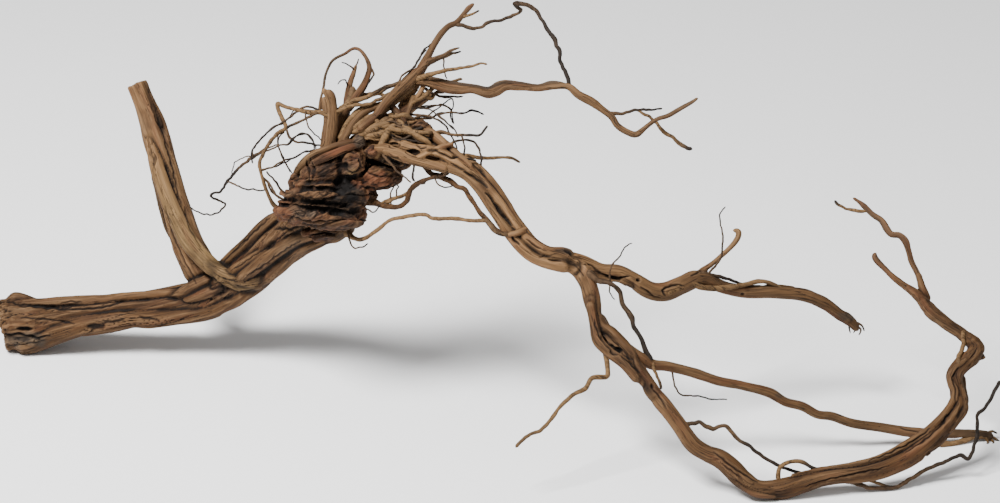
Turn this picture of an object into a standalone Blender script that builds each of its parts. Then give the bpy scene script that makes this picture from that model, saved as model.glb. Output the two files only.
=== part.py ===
"""A piece of root driftwood: a stump end, an upright stub, a burl crowned with roots, and long twisted limbs.

Every run of wood is laid out on a sheet that leans back from the viewer. A station on a run is
(across, down, behind, radius), in thousandths of the overall length: across from the sheet's left edge, down
from its top edge, and behind the sheet, away from the viewer. The whole piece is one solid on three feet.
"""

import math

import bpy
import bmesh
from mathutils import Matrix, Vector

# Driving dimensions, in metres and radians.
OVERALL_LENGTH = 0.80
UNIT = OVERALL_LENGTH / 1000
LEAN = math.radians(25)
SHEET_MIDDLE = Vector((0.0144, 0.0425, 0.1088))
# The layout is drawn as seen from this far: wood behind the sheet is spread out, and wood before it drawn in.
SIGHT_DISTANCE = 3 * OVERALL_LENGTH
SHEET_HALF_WIDTH, SHEET_HALF_HEIGHT = 500, 251.5

# Sides of a run's section, by its largest radius in layout units.
SIDES_BY_RADIUS = ((13, 10), (6, 8), (3, 6), (0, 4))
SPACING_PER_RADIUS = 2.0
LEAST_SPACING = 9.0
# A station is left out where the straight way past it is this near, in layout units.
STRAIGHT_WITHIN = 0.6

# The trunk, its upright stub and the neck that rises to the burl.
TRUNK_AND_NECK = {
    "butt": [
        (2, 325, 101, 25), (14, 323, 102, 26.5), (32, 323, 100, 25.5), (52, 320, 98, 22.5),
        (75, 317, 96, 20.5), (100, 314.5, 93, 19.5), (125, 311, 90, 18), (150, 308.5, 86, 17),
        (175, 305, 81, 17.5), (200, 301, 74, 18), (225, 290, 60, 18.5), (249, 273, 38, 18),
        (273, 249.5, 8, 18), (297, 227, -30, 18.5), (321, 206, -66, 21.5),
    ],
    "butt_crest": [
        (6, 303, 98, 8), (16, 300, 97, 9), (40, 305, 96, 8), (75, 304, 94, 8), (110, 301, 90, 7),
        (150, 296.5, 84, 7.5), (185, 291, 78, 8.5), (205, 285, 72, 8),
    ],
    "butt_belly": [
        (8, 336.5, 97, 17.5), (30, 336.5, 95, 16.5), (55, 331, 88, 13.5), (90, 323, 82, 12),
        (130, 318, 78, 11), (152, 317.5, 76, 11.5), (180, 313.5, 73, 11.5), (210, 308, 64, 11),
        (242, 294, 42, 9), (266.5, 276.5, 16, 8.5), (289, 256.5, -14, 7.5), (313, 242.5, -42, 7),
        (337, 235, -66, 7), (353, 225, -82, 6.5),
    ],
    "neck_top": [
        (196, 282, 72, 9), (214, 272, 60, 7), (232, 257, 48, 7), (250, 239, 28, 7), (267, 224, 6, 7.5),
        (284, 211, -22, 9),
    ],
    "neck_front": [
        (214, 284, 46, 7), (234, 270, 30, 7.5), (254, 257, 8, 7), (274, 246, -14, 7), (292, 237, -38, 7),
        (310, 233, -62, 6),
    ],
    "neck_back": [
        (205, 292, 92, 12), (240, 268, 72, 12), (270, 240, 44, 12), (296, 212, 6, 14),
        (318, 190, -36, 17),
    ],
    "stub": [
        (137, 83.5, 86, 10.8), (143.5, 100, 85, 11), (151, 120, 84, 12.5), (157, 140, 82, 13.5),
        (163, 160, 81, 13), (168, 180, 80, 13.5), (173, 200, 79, 14.5), (179, 220, 78, 15.5),
        (186, 240, 77, 16), (196, 262, 76, 17), (208, 284, 72, 17), (222, 298, 62, 15),
    ],
    "stub_band": [
        (150, 142, 74, 6), (157, 165, 70, 8), (163, 185, 66, 8.5), (170, 205, 62, 9), (180, 226, 58, 9),
        (192, 246, 52, 9.5), (208, 264, 46, 10), (227, 277, 38, 10), (246, 283, 28, 9.5),
        (265, 276.5, 16, 8.4), (283, 262.5, -2, 7.6), (304, 248, -24, 6.6), (324, 239, -48, 6.3),
        (343, 231, -68, 6.3),
    ],
}

# The limbs that leave the burl to the right.
STEM_AND_LIMBS = {
    "stem_low": [
        (366, 146, -98, 8), (384, 150, -116, 8), (402, 157, -126, 7.5), (422, 163, -130, 7),
        (446, 166, -132, 7.8), (466, 174.5, -134, 8), (484, 190.5, -136, 8.2), (497, 210, -137, 8.6),
        (510, 231.5, -138, 9), (525.5, 247, -139, 9.4), (545, 259.5, -139, 10), (565, 264.5, -138, 10.6),
        (578, 269, -138, 10),
    ],
    "stem_high": [
        (374, 140, -84, 8), (396, 143, -98, 10), (425, 143, -108, 10.5), (446, 153, -114, 10.5),
        (466, 167, -120, 9.5), (482, 180, -124, 9.5), (496.5, 196.5, -126, 9.8), (508.5, 215, -127, 10),
        (519.5, 234, -128, 8.4), (538, 251.5, -129, 8), (560, 257, -130, 8.5), (576, 264, -130, 9),
    ],
    "stem_coil": [
        (392, 130, -88, 7), (410, 128, -100, 9), (428, 132.5, -110, 7.6), (444, 144, -120, 6.6),
        (458, 155.5, -128, 5), (472, 168, -134, 4.5),
    ],
    "descender": [
        (566, 260, -134, 10), (580, 270, -136, 10), (588, 284, -138, 9), (592.5, 302, -142, 9),
        (597, 318, -146, 8), (606, 331.5, -150, 7), (618, 343, -155, 7), (629, 356, -161, 7),
        (640, 371, -167, 7.5), (652.5, 391.5, -172, 9), (666, 407.5, -175, 8.2), (680, 426, -177, 8.2),
        (693, 444, -179, 8.5), (706, 453, -180, 8.5), (721, 459, -181, 10), (733.5, 469.5, -181, 11),
        (743, 480, -181, 10.4), (758, 488, -180, 9.5), (779, 489, -178, 11), (800, 483, -177, 10.8),
        (820, 477, -175, 10.4), (840, 474, -173, 10), (861, 472.5, -171, 9.8), (881, 468, -168, 10),
        (902, 459.5, -164, 10.5), (919, 448.5, -159, 11.5), (935, 435.5, -153, 12), (949, 420.5, -147, 10.8),
        (957.5, 405.5, -141, 9.6), (957, 390, -137, 8), (954, 376, -134, 9), (961, 365, -131, 9),
        (973, 354, -128, 10), (975, 346, -125, 9), (962, 334, -120, 6.5), (946, 323, -116, 6.3),
        (931, 311, -110, 7), (921, 298, -105, 6.5),
    ],
    "descender_twin": [
        (590, 300, -148, 6), (593.5, 322, -154, 5), (598, 340, -160, 6), (610, 353, -166, 5.5),
        (625, 364, -170, 6), (640, 382, -174, 6),
    ],
    "loop_rib": [
        (926, 452, -160, 5), (942, 434, -152, 6), (956, 416, -142, 6), (964, 402, -136, 4.5),
        (963, 388, -130, 3.5), (962, 374, -128, 3),
    ],
    "elbow_spur": [(972, 352, -126, 8), (980, 356, -126, 5), (986, 357, -126, 1.6)],
    "arm_low": [
        (924, 298, -104, 5), (912, 290, -103, 4), (902, 284, -102, 3.6), (892, 276, -100, 3.2),
        (884, 268, -97, 3), (877, 261, -95, 3.4), (874, 256, -94, 3.2), (876, 252, -93, 2),
    ],
    "arm_high": [
        (928, 302, -104, 5), (922, 287, -99, 3.6), (917, 273, -92, 3), (911, 261, -86, 3),
        (908, 250, -82, 3), (905, 241, -78, 3.6), (899, 235, -75, 3.2), (891, 234, -72, 3.2),
        (886, 228, -69, 3.6), (881, 220, -66, 3.2), (872, 214, -63, 3), (864, 206, -59, 3),
        (858, 201, -56, 2), (852, 197, -54, 1.6),
    ],
    "straight": [
        (622, 344, -154, 5), (638, 356, -155, 6), (652, 364, -151, 5.5), (668, 366, -147, 5.2),
        (692, 372, -140, 5.3), (716, 380, -133, 5), (741, 385, -126, 4.8), (768, 392, -119, 5.2),
        (784, 401, -114, 4.8), (802, 406, -109, 4.6), (817, 414, -105, 4.6), (832, 416, -101, 4.6),
        (852, 423, -97, 4.7), (880, 427, -91, 4.8), (912, 432, -86, 5.2), (940, 433, -82, 4.8),
        (965, 433, -78, 4.4), (983, 434, -74, 4.4), (993, 438, -73, 5.6),
    ],
    "reach": [
        (560, 256, -126, 8), (580, 262, -124, 8), (600, 270, -121, 7.5), (618, 272, -118, 8),
        (634, 281, -113, 8.6), (650, 290, -107, 8.8), (665, 291, -101, 9.6), (682, 284, -94, 9.4),
        (700, 277.5, -87, 8.6), (720, 286, -79, 6.8), (742, 291, -71, 6.8), (770, 291, -62, 7),
        (800, 293.5, -53, 7), (822, 302, -46, 6.6), (838, 313, -41, 6.4), (849.5, 320.5, -37, 5.6),
        (858, 330.5, -34, 3.6),
    ],
    "reach_twig": [
        (698, 272, -86, 3.5), (708, 266, -84, 3), (718, 258, -81, 2.6), (730, 247, -77, 2.8),
        (737, 238, -74, 3), (738, 231, -72, 3), (732, 230, -70, 2),
    ],
}

# The crown of roots above the burl.
CROWN = {
    "crown_root": [
        (345, 160, -86, 16), (364, 148, -90, 15), (382, 140, -92, 14), (398, 130, -90, 11),
        (404, 116, -86, 7), (406, 102, -84, 6), (412, 88, -84, 5.5), (420, 74, -82, 5),
    ],
    "crown_front": [
        (357, 130, -114, 4), (366, 123, -112, 4.5), (376, 115, -110, 4.8), (384, 104, -107, 5),
        (392, 96, -103, 5.5), (402, 87, -98, 6), (412, 78, -93, 6), (420, 69, -89, 4.6),
        (428, 62, -86, 3.8), (437, 58, -82, 3), (444, 55, -80, 2.6), (451, 50, -77, 1.8),
        (460, 47, -74, 1),
    ],
    "crown_back": [
        (388, 138, -78, 7), (400, 122, -68, 6), (408, 110, -60, 5), (418, 103, -54, 4.2),
        (428, 97, -48, 3), (438, 92, -43, 1.6),
    ],
    "top_limb": [
        (414, 80, -86, 6), (424, 63, -76, 4.8), (430, 51, -70, 3.8), (435, 42, -66, 3.6),
        (441, 33, -62, 3.4), (448, 26, -59, 3.2), (456, 22, -56, 3), (463, 14, -52, 2.4),
        (469, 7, -49, 2.6), (474, 3, -47, 1.4),
    ],
    "far_arm": [
        (412, 80, -92, 5), (428, 83, -92, 4), (445, 89, -95, 3.8), (460, 91, -98, 3.4),
        (471, 90, -100, 3.4), (480, 92, -102, 3.8), (488, 94, -104, 4.2), (497, 92, -106, 3.8),
        (506, 87, -107, 3.6), (520, 87, -109, 3.4), (538, 88, -111, 3.2), (554, 86, -113, 3.2),
        (568, 86, -115, 3.6), (578, 94, -117, 4.2), (591, 101, -119, 4.6), (602, 109, -121, 3.6),
        (611, 116, -123, 3.6), (617, 125, -125, 3.4), (626, 131, -127, 3.4), (636, 134, -129, 3.4),
        (645, 127, -131, 2.6), (656, 119, -133, 2.3), (668, 115, -135, 2.5), (682, 107, -138, 2.4),
        (691, 102, -140, 2), (698, 97, -142, 1.5),
    ],
    "far_arm_twin": [
        (414, 76, -84, 3), (430, 78, -86, 2.6), (445, 81, -90, 2.4), (462, 84, -95, 2.2),
        (476, 86, -99, 2.2), (488, 88, -102, 2.2), (497, 83, -105, 2.2), (506, 81, -106, 2),
        (522, 83, -108, 2), (538, 85, -110, 1.8), (550, 82, -112, 2), (564, 83, -114, 2),
    ],
    "arch": [
        (345, 112, -92, 5), (356, 96, -92, 4.2), (363, 86, -88, 4), (367, 76, -82, 3.2),
        (369, 67, -77, 2.8), (366, 58, -72, 2.2), (360, 50, -68, 1.9), (353, 48, -64, 1.8),
        (345, 53, -62, 1.7), (335, 58, -60, 1.7), (330, 63, -60, 1.6), (325, 75, -62, 1.6),
        (323, 88, -68, 1.6), (320, 100, -77, 1.6), (319, 112, -86, 1.8),
    ],
    "finger_back": [
        (340, 132, -88, 5), (345, 112, -82, 4.2), (347, 98, -76, 4), (349, 85, -68, 3.2),
        (353, 73, -61, 2.6), (356, 64, -56, 1.4),
    ],
    "finger_blunt": [
        (330, 150, -100, 5), (333, 132, -103, 4.6), (334, 116, -106, 4.2), (333, 104, -108, 4),
        (331, 95, -110, 4), (326, 89, -111, 2.8),
    ],
    "finger_left": [
        (322, 154, -94, 4), (324, 138, -90, 3.6), (326, 122, -86, 3.4), (325, 108, -82, 3),
        (323, 96, -78, 2.6),
    ],
    "finger_thick": [(326, 156, -96, 8), (334, 138, -93, 7.4), (341, 120, -90, 6), (347, 104, -90, 4.6)],
    "finger_right": [
        (336, 152, -106, 5), (345, 136, -106, 4.4), (354, 122, -104, 4.2), (364, 112, -101, 3.8),
        (375, 107, -101, 3.4), (388, 104, -101, 3.2), (396, 97, -100, 3),
    ],
    "antler": [
        (331, 117, -88, 2.6), (320, 112, -86, 2.2), (308, 112, -84, 2.2), (296, 109, -80, 1.8),
        (286, 107, -76, 1.6), (277, 103, -72, 2), (279, 112, -74, 2), (283, 121, -78, 1.9),
        (285, 128, -82, 2), (276, 134, -88, 1.8), (268, 144, -94, 1.7), (262, 155, -98, 1.7),
        (259, 165, -98, 1.5), (262, 178, -94, 1.4), (266, 190, -88, 1.4), (271, 201, -84, 1.6),
        (279, 210, -80, 2), (290, 214, -84, 2),
    ],
    "hoop": [
        (452, 24, -56, 1.8), (463, 25, -58, 1.8), (471, 28, -60, 1.6), (481, 27, -62, 1.5),
        (489, 22, -64, 1.5), (503, 19, -66, 1.4), (513, 15, -67, 1.5), (520, 10, -70, 1.5),
        (517, 7, -76, 1.7), (514, 3.5, -82, 2), (523, 3.5, -86, 2.1), (532, 7, -88, 1.9),
        (541, 19, -92, 1.7), (549, 32, -97, 1.7), (554, 38, -100, 2), (556, 45, -102, 1.8),
        (559, 51, -104, 1.9), (560, 61, -107, 1.7), (565, 72, -111, 1.8), (570, 88, -116, 2),
    ],
    "under_root": [
        (360, 198, -84, 6), (374, 202, -90, 3.2), (386, 206, -98, 2.5), (398, 206, -106, 2.3),
        (406, 201, -112, 2.2), (410, 190, -118, 2.2), (416, 183, -122, 2), (426, 179, -126, 1.9),
        (437, 176, -129, 2), (449, 172, -131, 2.4),
    ],
    "under_twin": [
        (424, 163, -124, 4), (429, 172, -122, 2.6), (441, 176.5, -124, 2.8), (450, 181, -126, 2.5),
        (457, 186, -128, 2.2), (464, 188.5, -130, 2.2), (469, 196, -132, 2), (474, 203.5, -134, 2),
        (479, 211, -136, 2), (486, 218.5, -140, 2.2), (494, 229, -144, 2.6), (503, 233.5, -144, 2.6),
        (516, 231, -142, 3),
    ],
    "low_root": [
        (344, 230, -80, 4), (354, 238, -86, 2), (364, 238, -92, 1.9), (374, 232, -98, 1.8),
        (388, 221, -106, 1.8), (402, 217, -112, 1.8), (423, 214, -120, 1.7), (434, 218, -124, 1.7),
        (454, 218, -132, 1.8), (467, 220, -138, 1.7), (486, 221, -143, 1.8), (494, 230, -146, 1.9),
        (501, 234, -146, 1.9), (514, 233, -142, 2.4),
    ],
    "drip": [
        (586, 270, -142, 4), (597, 280, -146, 2.4), (610, 283, -148, 2.2), (619, 291, -148, 2.2),
        (622, 303, -148, 2.2), (630, 315, -150, 2.4), (634, 327, -152, 2), (641, 339, -154, 2),
        (645, 350, -155, 2.4), (651, 361, -155, 2.6),
    ],
}

# Slender roots: places on the sheet, how far behind it they start and end, and their first and last radius.
ROOTLETS = {
    "bare_kink": (
        [(603, 346), (606, 360), (607, 375), (600, 377), (591, 378), (585, 388), (575, 393), (560, 406),
         (549, 421), (540, 430), (528, 435), (515, 447)],
        (-160, -196), (2.4, 1.5),
    ),
    "drip_tail": (
        [(651, 361), (656, 374), (661, 389)],
        (-155, -160), (1.6, 1.2),
    ),
    "hair_curl": (
        [(672, 370), (674, 386), (683, 395), (698, 396), (712, 399), (727, 399)],
        (-146, -120), (0.9, 0.6),
    ),
    "dark_creeper": (
        [(682, 424), (694, 423), (700, 421), (706, 426), (714, 428), (724, 425), (731, 431), (739, 440),
         (750, 446), (757, 452), (769, 460), (782, 467), (797, 471), (808, 476)],
        (-177, -171), (2.0, 1.4),
    ),
    "arm_arch": (
        [(778, 484), (778, 472), (784, 463), (800, 461), (812, 467), (826, 471)],
        (-180, -176), (2.2, 1.5),
    ),
    "low_twig": (
        [(836, 478), (858, 484), (872, 488), (893, 487), (901, 484), (911, 478), (927, 468), (941, 463),
         (953, 457), (961, 455), (969, 458), (975, 442), (977, 432), (977, 416), (985, 407), (993, 393),
         (1000, 380)],
        (-172, -136), (1.9, 1.6),
    ),
    "low_twig_feeder": (
        [(858, 474), (870, 480), (882, 485), (893, 487)],
        (-168, -163), (1.5, 1.3),
    ),
    "elbow_strap": (
        [(963, 330), (963, 342), (961, 351), (958, 357), (959, 366)],
        (-124, -138), (2.2, 2.0),
    ),
    "toe_strand": (
        [(926, 434), (938, 442), (950, 444), (960, 441), (974, 437), (986, 437)],
        (-86, -75), (4.0, 1.6),
    ),
    "arm_high_twig": (
        [(868, 211), (853, 210), (845, 208), (838, 204), (834, 200)],
        (-61, -50), (1.6, 1.3),
    ),
    "reach_vine": (
        [(664, 294), (676, 288), (691, 283), (699, 286), (710, 288), (730, 287), (745, 284), (757, 281),
         (768, 282), (783, 289)],
        (-108, -61), (3.2, 1.6),
    ),
    "reach_vine_twin": (
        [(701, 273), (718, 276), (737, 282), (749, 287)],
        (-91, -71), (1.7, 1.2),
    ),
    "reach_hair": (
        [(706, 276), (714, 267), (720, 258), (722, 245), (723, 237), (720, 224), (720, 213), (725, 206)],
        (-88, -104), (1.1, 0.6),
    ),
    "fork_hair": (
        [(610, 284), (609, 272), (613, 263), (620, 255), (624, 247), (632, 243)],
        (-148, -160), (0.9, 0.6),
    ),
    "fork_hair_drop": (
        [(610, 282), (609, 292), (615, 299)],
        (-148, -154), (0.7, 0.5),
    ),
    "far_fork": (
        [(608, 113), (620, 113), (632, 110), (641, 109), (652, 109), (662, 108)],
        (-123, -116), (1.8, 0.8),
    ),
    "far_fork_drop": (
        [(636, 110), (648, 116), (656, 123), (662, 130), (673, 138), (681, 145), (692, 149)],
        (-119, -122), (1.2, 2.0),
    ),
    "top_spur": (
        [(461, 17), (470, 14), (479, 10)],
        (-53, -58), (1.6, 0.8),
    ),
    "crown_spur": (
        [(441, 58), (449, 54), (461, 51)],
        (-81, -70), (1.6, 0.8),
    ),
    "crown_needle": (
        [(412, 80), (430, 74), (446, 70), (470, 66), (481, 63), (487, 64)],
        (-94, -110), (2.6, 0.8),
    ),
    "crown_wire": (
        [(398, 88), (400, 77), (412, 68), (418, 60), (423, 50), (431, 43)],
        (-98, -67), (0.9, 0.8),
    ),
    "arm_shelf": (
        [(428, 81), (444, 82), (455, 80), (462, 78)],
        (-88, -84), (1.8, 1.2),
    ),
    "cross_high": (
        [(331, 117), (345, 105), (360, 99), (376, 93), (392, 85), (404, 82)],
        (-105, -97), (2.2, 1.6),
    ),
    "cross_low": (
        [(334, 112), (350, 106), (368, 104), (388, 94), (398, 92)],
        (-108, -103), (1.8, 1.4),
    ),
    "ribbon": (
        [(358, 140), (370, 138), (390, 138), (412, 139), (426, 135), (440, 131), (450, 134), (470, 135),
         (480, 134), (487, 125)],
        (-98, -128), (2.2, 1.0),
    ),
    "ribbon_low": (
        [(356, 146), (376, 143), (394, 140), (404, 134), (409, 127)],
        (-102, -108), (2.2, 1.4),
    ),
    "drop_thread": (
        [(402, 138), (410, 152), (414, 164), (412, 174), (413, 181)],
        (-106, -140), (1.1, 0.7),
    ),
    "drop_thread_left": (
        [(382, 154), (394, 168), (403, 176), (411, 182)],
        (-118, -132), (1.3, 0.7),
    ),
    "needle_right": (
        [(452, 154), (472, 156), (487, 158), (500, 157), (512, 158), (520, 162)],
        (-116, -96), (2.2, 1.1),
    ),
    "hoop_right": (
        [(444, 146), (455, 141), (466, 139), (474, 142), (480, 152), (481, 166)],
        (-112, -122), (1.1, 0.9),
    ),
    "hoop_right_drop": (
        [(460, 134), (464, 145), (464, 156)],
        (-126, -118), (0.9, 0.8),
    ),
    "wisp_a": (
        [(398, 122), (415, 118), (430, 118), (438, 113), (450, 112), (464, 113), (472, 109), (484, 114)],
        (-82, -60), (1.2, 0.6),
    ),
    "wisp_b": (
        [(400, 114), (418, 114), (432, 117), (444, 124), (450, 134), (457, 149)],
        (-86, -110), (1.2, 0.7),
    ),
    "wisp_c": (
        [(405, 107), (428, 107), (442, 104), (451, 110), (452, 117), (454, 124)],
        (-85, -60), (1.0, 0.5),
    ),
    "wisp_d": (
        [(406, 119), (420, 119), (436, 109), (451, 98), (453, 105), (450, 112)],
        (-87, -64), (0.8, 0.6),
    ),
    "wisp_e": (
        [(420, 84), (430, 91), (442, 96), (463, 96)],
        (-90, -76), (1.0, 0.6),
    ),
    "wisp_f": (
        [(405, 105), (416, 106), (430, 110), (442, 119), (454, 129)],
        (-85, -104), (0.8, 0.5),
    ),
    "left_rod": (
        [(318, 112), (306, 118), (295, 123), (285, 128)],
        (-88, -82), (1.3, 1.2),
    ),
    "left_rod_low": (
        [(285, 127), (290, 138), (297, 142), (308, 143), (326, 146)],
        (-82, -92), (1.2, 0.9),
    ),
    "feeler": (
        [(266, 148), (255, 155), (244, 163), (236, 170), (227, 181), (220, 191), (212, 193), (212, 197),
         (224, 203), (221, 210), (211, 214), (198, 212), (189, 206)],
        (-94, 40), (1.6, 0.6),
    ),
    "feeler_side": (
        [(227, 181), (244, 188), (266, 190)],
        (-42, -88), (0.9, 0.7),
    ),
    "feeler_bow": (
        [(253, 157), (252, 150), (258, 141), (272, 127), (284, 122), (294, 109)],
        (-78, -79), (0.7, 0.6),
    ),
    "feeler_loop": (
        [(255, 155), (243, 157), (234, 163), (231, 177)],
        (-80, -47), (0.6, 0.5),
    ),
    "thread_high": (
        [(263, 150), (276, 145), (288, 144), (296, 135), (307, 134), (315, 146), (316, 156)],
        (-96, -100), (0.7, 0.6),
    ),
    "thread_low": (
        [(261, 170), (273, 167), (292, 158), (306, 151), (318, 153)],
        (-96, -92), (0.8, 0.7),
    ),
    "thread_drop": (
        [(305, 110), (307, 124), (314, 133), (324, 143)],
        (-86, -92), (0.7, 0.6),
    ),
    "thread_inner": (
        [(285, 129), (277, 137), (281, 155), (296, 180)],
        (-82, -84), (0.6, 0.5),
    ),
    "spike_left": (
        [(296, 198), (281, 190), (274, 180), (266, 171)],
        (-86, -104), (1.3, 0.8),
    ),
    "spike_left_low": (
        [(298, 205), (277, 196), (270, 185), (262, 175)],
        (-84, -95), (1.3, 0.8),
    ),
    "hook_bottom": (
        [(346, 227), (352, 247), (360, 247), (368, 243)],
        (-84, -104), (0.9, 0.6),
    ),
    "under_spike": (
        [(380, 204), (392, 198), (402, 196), (410, 189), (418, 184), (425, 182)],
        (-94, -112), (1.6, 1.0),
    ),
    "arch_side": (
        [(368, 64), (373, 74), (366, 86)],
        (-76, -88), (1.0, 0.8),
    ),
    "finger_twig": (
        [(354, 70), (349, 65), (341, 62)],
        (-60, -70), (0.9, 0.5),
    ),
    "finger_twig_up": (
        [(355, 68), (358, 58)],
        (-58, -52), (0.9, 0.5),
    ),
    "finger_twig_low": (
        [(348, 88), (344, 79), (337, 84)],
        (-70, -84), (0.8, 0.5),
    ),
}

# Lumps of the burl: middle (across, down, behind), half sizes (along, across, deep) and the long way's turn.
BURL_LUMPS = {
    "heart": ((326, 190, -72), (38, 38, 34), 20),
    "shoulder": ((328, 168, -92), (37, 18, 26), -35),
    "knot": ((350, 163, -104), (16, 16, 16), 0),
    "shelf_mid": ((318, 195, -96), (39, 9, 24), 2),
    "shelf_low": ((318, 216, -92), (46, 12, 24), 9),
    "dark_side": ((352, 190, -94), (20, 20, 22), 0),
    "ruffle": ((378, 178, -98), (25, 13, 14), -8),
    "heel": ((352, 220, -78), (19, 14, 20), -30),
    "back_hump": ((336, 186, -52), (30, 28, 24), -30),
}

# The looks of dry, unfinished root wood.
WOOD_COLOUR = (0.27, 0.17, 0.10, 1)
WOOD_ROUGHNESS = 0.75
CREASE_ANGLE = math.radians(50)

FLOOR_CUTTER_SIZE = 2.5 * OVERALL_LENGTH
WELD_DISTANCE = 1e-6
FOUR_SIDES = 4


def place(across, down, behind):
    """The point in the part's own frame for a place on the leaning sheet, in metres."""
    spread = 1 + behind * UNIT / SIGHT_DISTANCE
    right = (across - SHEET_HALF_WIDTH) * UNIT * spread
    up = (SHEET_HALF_HEIGHT - down) * UNIT * spread
    back = behind * UNIT
    return SHEET_MIDDLE + Vector((
        right,
        up * math.sin(LEAN) + back * math.cos(LEAN),
        up * math.cos(LEAN) - back * math.sin(LEAN),
    ))


def spread_radius(radius, behind):
    """A station's true radius in metres."""
    return radius * UNIT * (1 + behind * UNIT / SIGHT_DISTANCE)


def catmull_rom(before, start, end, after, share):
    """The point at this share of the way from start to end, on the smooth curve through all four stations."""
    a, b, c, d = (Vector(station) for station in (before, start, end, after))
    return 0.5 * (2 * b + (c - a) * share + (2 * a - 5 * b + 4 * c - d) * share ** 2
                  + (3 * b - a - 3 * c + d) * share ** 3)


def smoothed(stations):
    """Stations on a smooth curve through the given ones, close together where the run is slender."""
    padded = [stations[0], *stations, stations[-1]]
    fine = []
    for before, start, end, after in zip(padded, padded[1:], padded[2:], padded[3:]):
        length = (Vector(end[:3]) - Vector(start[:3])).length
        spacing = max(LEAST_SPACING, SPACING_PER_RADIUS * (start[3] + end[3]) / 2)
        steps = max(1, round(length / spacing))
        fine += [catmull_rom(before, start, end, after, step / steps) for step in range(steps)]
    return [*fine, Vector(stations[-1])]


def strays(start, end, station):
    """How far a station, its radius counted too, lies from the straight way from start to end."""
    way = end - start
    share = max(0.0, min(1.0, (station - start).dot(way) / way.length_squared))
    return (station - start - way * share).length


def thinned(stations):
    """The stations without those that a straight way passes closely."""
    kept = [Vector(stations[0])]
    first = 0
    for last in range(2, len(stations)):
        start, end = Vector(stations[first]), Vector(stations[last])
        if any(strays(start, end, Vector(between)) > STRAIGHT_WITHIN for between in stations[first + 1:last]):
            first = last - 1
            kept.append(Vector(stations[first]))
    return [*kept, Vector(stations[-1])]


def rootlet_stations(places, behind, radius):
    """A slender root's stations, its depth and radius changing evenly along its length."""
    flat = [Vector(place_) for place_ in places]
    along = [0.0]
    for one, other in zip(flat, flat[1:]):
        along.append(along[-1] + (other - one).length)
    stations = []
    for spot, distance in zip(flat, along):
        share = distance / along[-1]
        stations.append((spot.x, spot.y, behind[0] + (behind[1] - behind[0]) * share,
                         radius[0] + (radius[1] - radius[0]) * share))
    return stations


def add_run(name, stations, collection):
    """One run of wood: a tapering tube along its stations, made a closed mesh."""
    curve = bpy.data.curves.new(name, "CURVE")
    curve.dimensions = "3D"
    curve.bevel_depth = 1.0
    widest = max(station[3] for station in stations)
    sides = next(count for least, count in SIDES_BY_RADIUS if widest >= least)
    curve.bevel_resolution = (sides - FOUR_SIDES) // 2
    curve.use_fill_caps = True
    spline = curve.splines.new("POLY")
    spline.points.add(len(stations) - 1)
    for point, (across, down, behind, radius) in zip(spline.points, stations):
        point.co = (*place(across, down, behind), 1)
        point.radius = spread_radius(radius, behind)
    guide = bpy.data.objects.new(name, curve)
    collection.objects.link(guide)
    graph = bpy.context.evaluated_depsgraph_get()
    mesh = bpy.data.meshes.new_from_object(guide.evaluated_get(graph))
    bpy.data.objects.remove(guide)
    bpy.data.curves.remove(curve)
    shell = bmesh.new()
    shell.from_mesh(mesh)
    bmesh.ops.remove_doubles(shell, verts=shell.verts, dist=WELD_DISTANCE)
    bmesh.ops.recalc_face_normals(shell, faces=shell.faces)
    shell.to_mesh(mesh)
    shell.free()
    run = bpy.data.objects.new(name, mesh)
    collection.objects.link(run)
    return run


def add_lump(name, middle, half_sizes, turn, collection):
    """One lump of the burl: a ball stretched and turned on the sheet."""
    shell = bmesh.new()
    bmesh.ops.create_icosphere(shell, subdivisions=2, radius=1.0)
    sheet = Matrix.Rotation(-LEAN, 4, "X")
    spin = Matrix.Rotation(math.radians(-turn), 4, "Y")
    along, across, deep = (spread_radius(size, middle[2]) for size in half_sizes)
    stretch = Matrix.Diagonal((along, deep, across, 1))
    shell.transform(Matrix.Translation(place(*middle)) @ sheet @ spin @ stretch)
    mesh = bpy.data.meshes.new(name)
    shell.to_mesh(mesh)
    shell.free()
    lump = bpy.data.objects.new(name, mesh)
    collection.objects.link(lump)
    return lump


def wood_material():
    """Dry, unfinished root wood."""
    material = bpy.data.materials.new("driftwood")
    material.use_nodes = True
    shader = material.node_tree.nodes["Principled BSDF"]
    shader.inputs["Base Color"].default_value = WOOD_COLOUR
    shader.inputs["Roughness"].default_value = WOOD_ROUGHNESS
    shader.inputs["Metallic"].default_value = 0.0
    return material


def join_all(base, runs, cutters):
    """Fuses every run into the base, then cuts the feet flat on the floor."""
    union = base.modifiers.new("fuse", "BOOLEAN")
    union.operation = "UNION"
    union.operand_type = "COLLECTION"
    union.collection = runs
    union.solver = "MANIFOLD"
    bpy.ops.mesh.primitive_cube_add(size=FLOOR_CUTTER_SIZE, location=(0, 0, -FLOOR_CUTTER_SIZE / 2))
    floor = bpy.context.object
    floor.name = "floor_cutter"
    floor.hide_render = True
    floor.display_type = "WIRE"
    cutters.objects.link(floor)
    cut = base.modifiers.new("flatten_feet", "BOOLEAN")
    cut.operation = "DIFFERENCE"
    cut.object = floor
    cut.solver = "MANIFOLD"
    graph = bpy.context.evaluated_depsgraph_get()
    fused = bpy.data.meshes.new_from_object(base.evaluated_get(graph))
    base.modifiers.clear()
    base.data = fused
    for helper in [*runs.objects, floor]:
        bpy.data.objects.remove(helper)
    bpy.data.collections.remove(runs)
    bpy.data.collections.remove(cutters)


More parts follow.
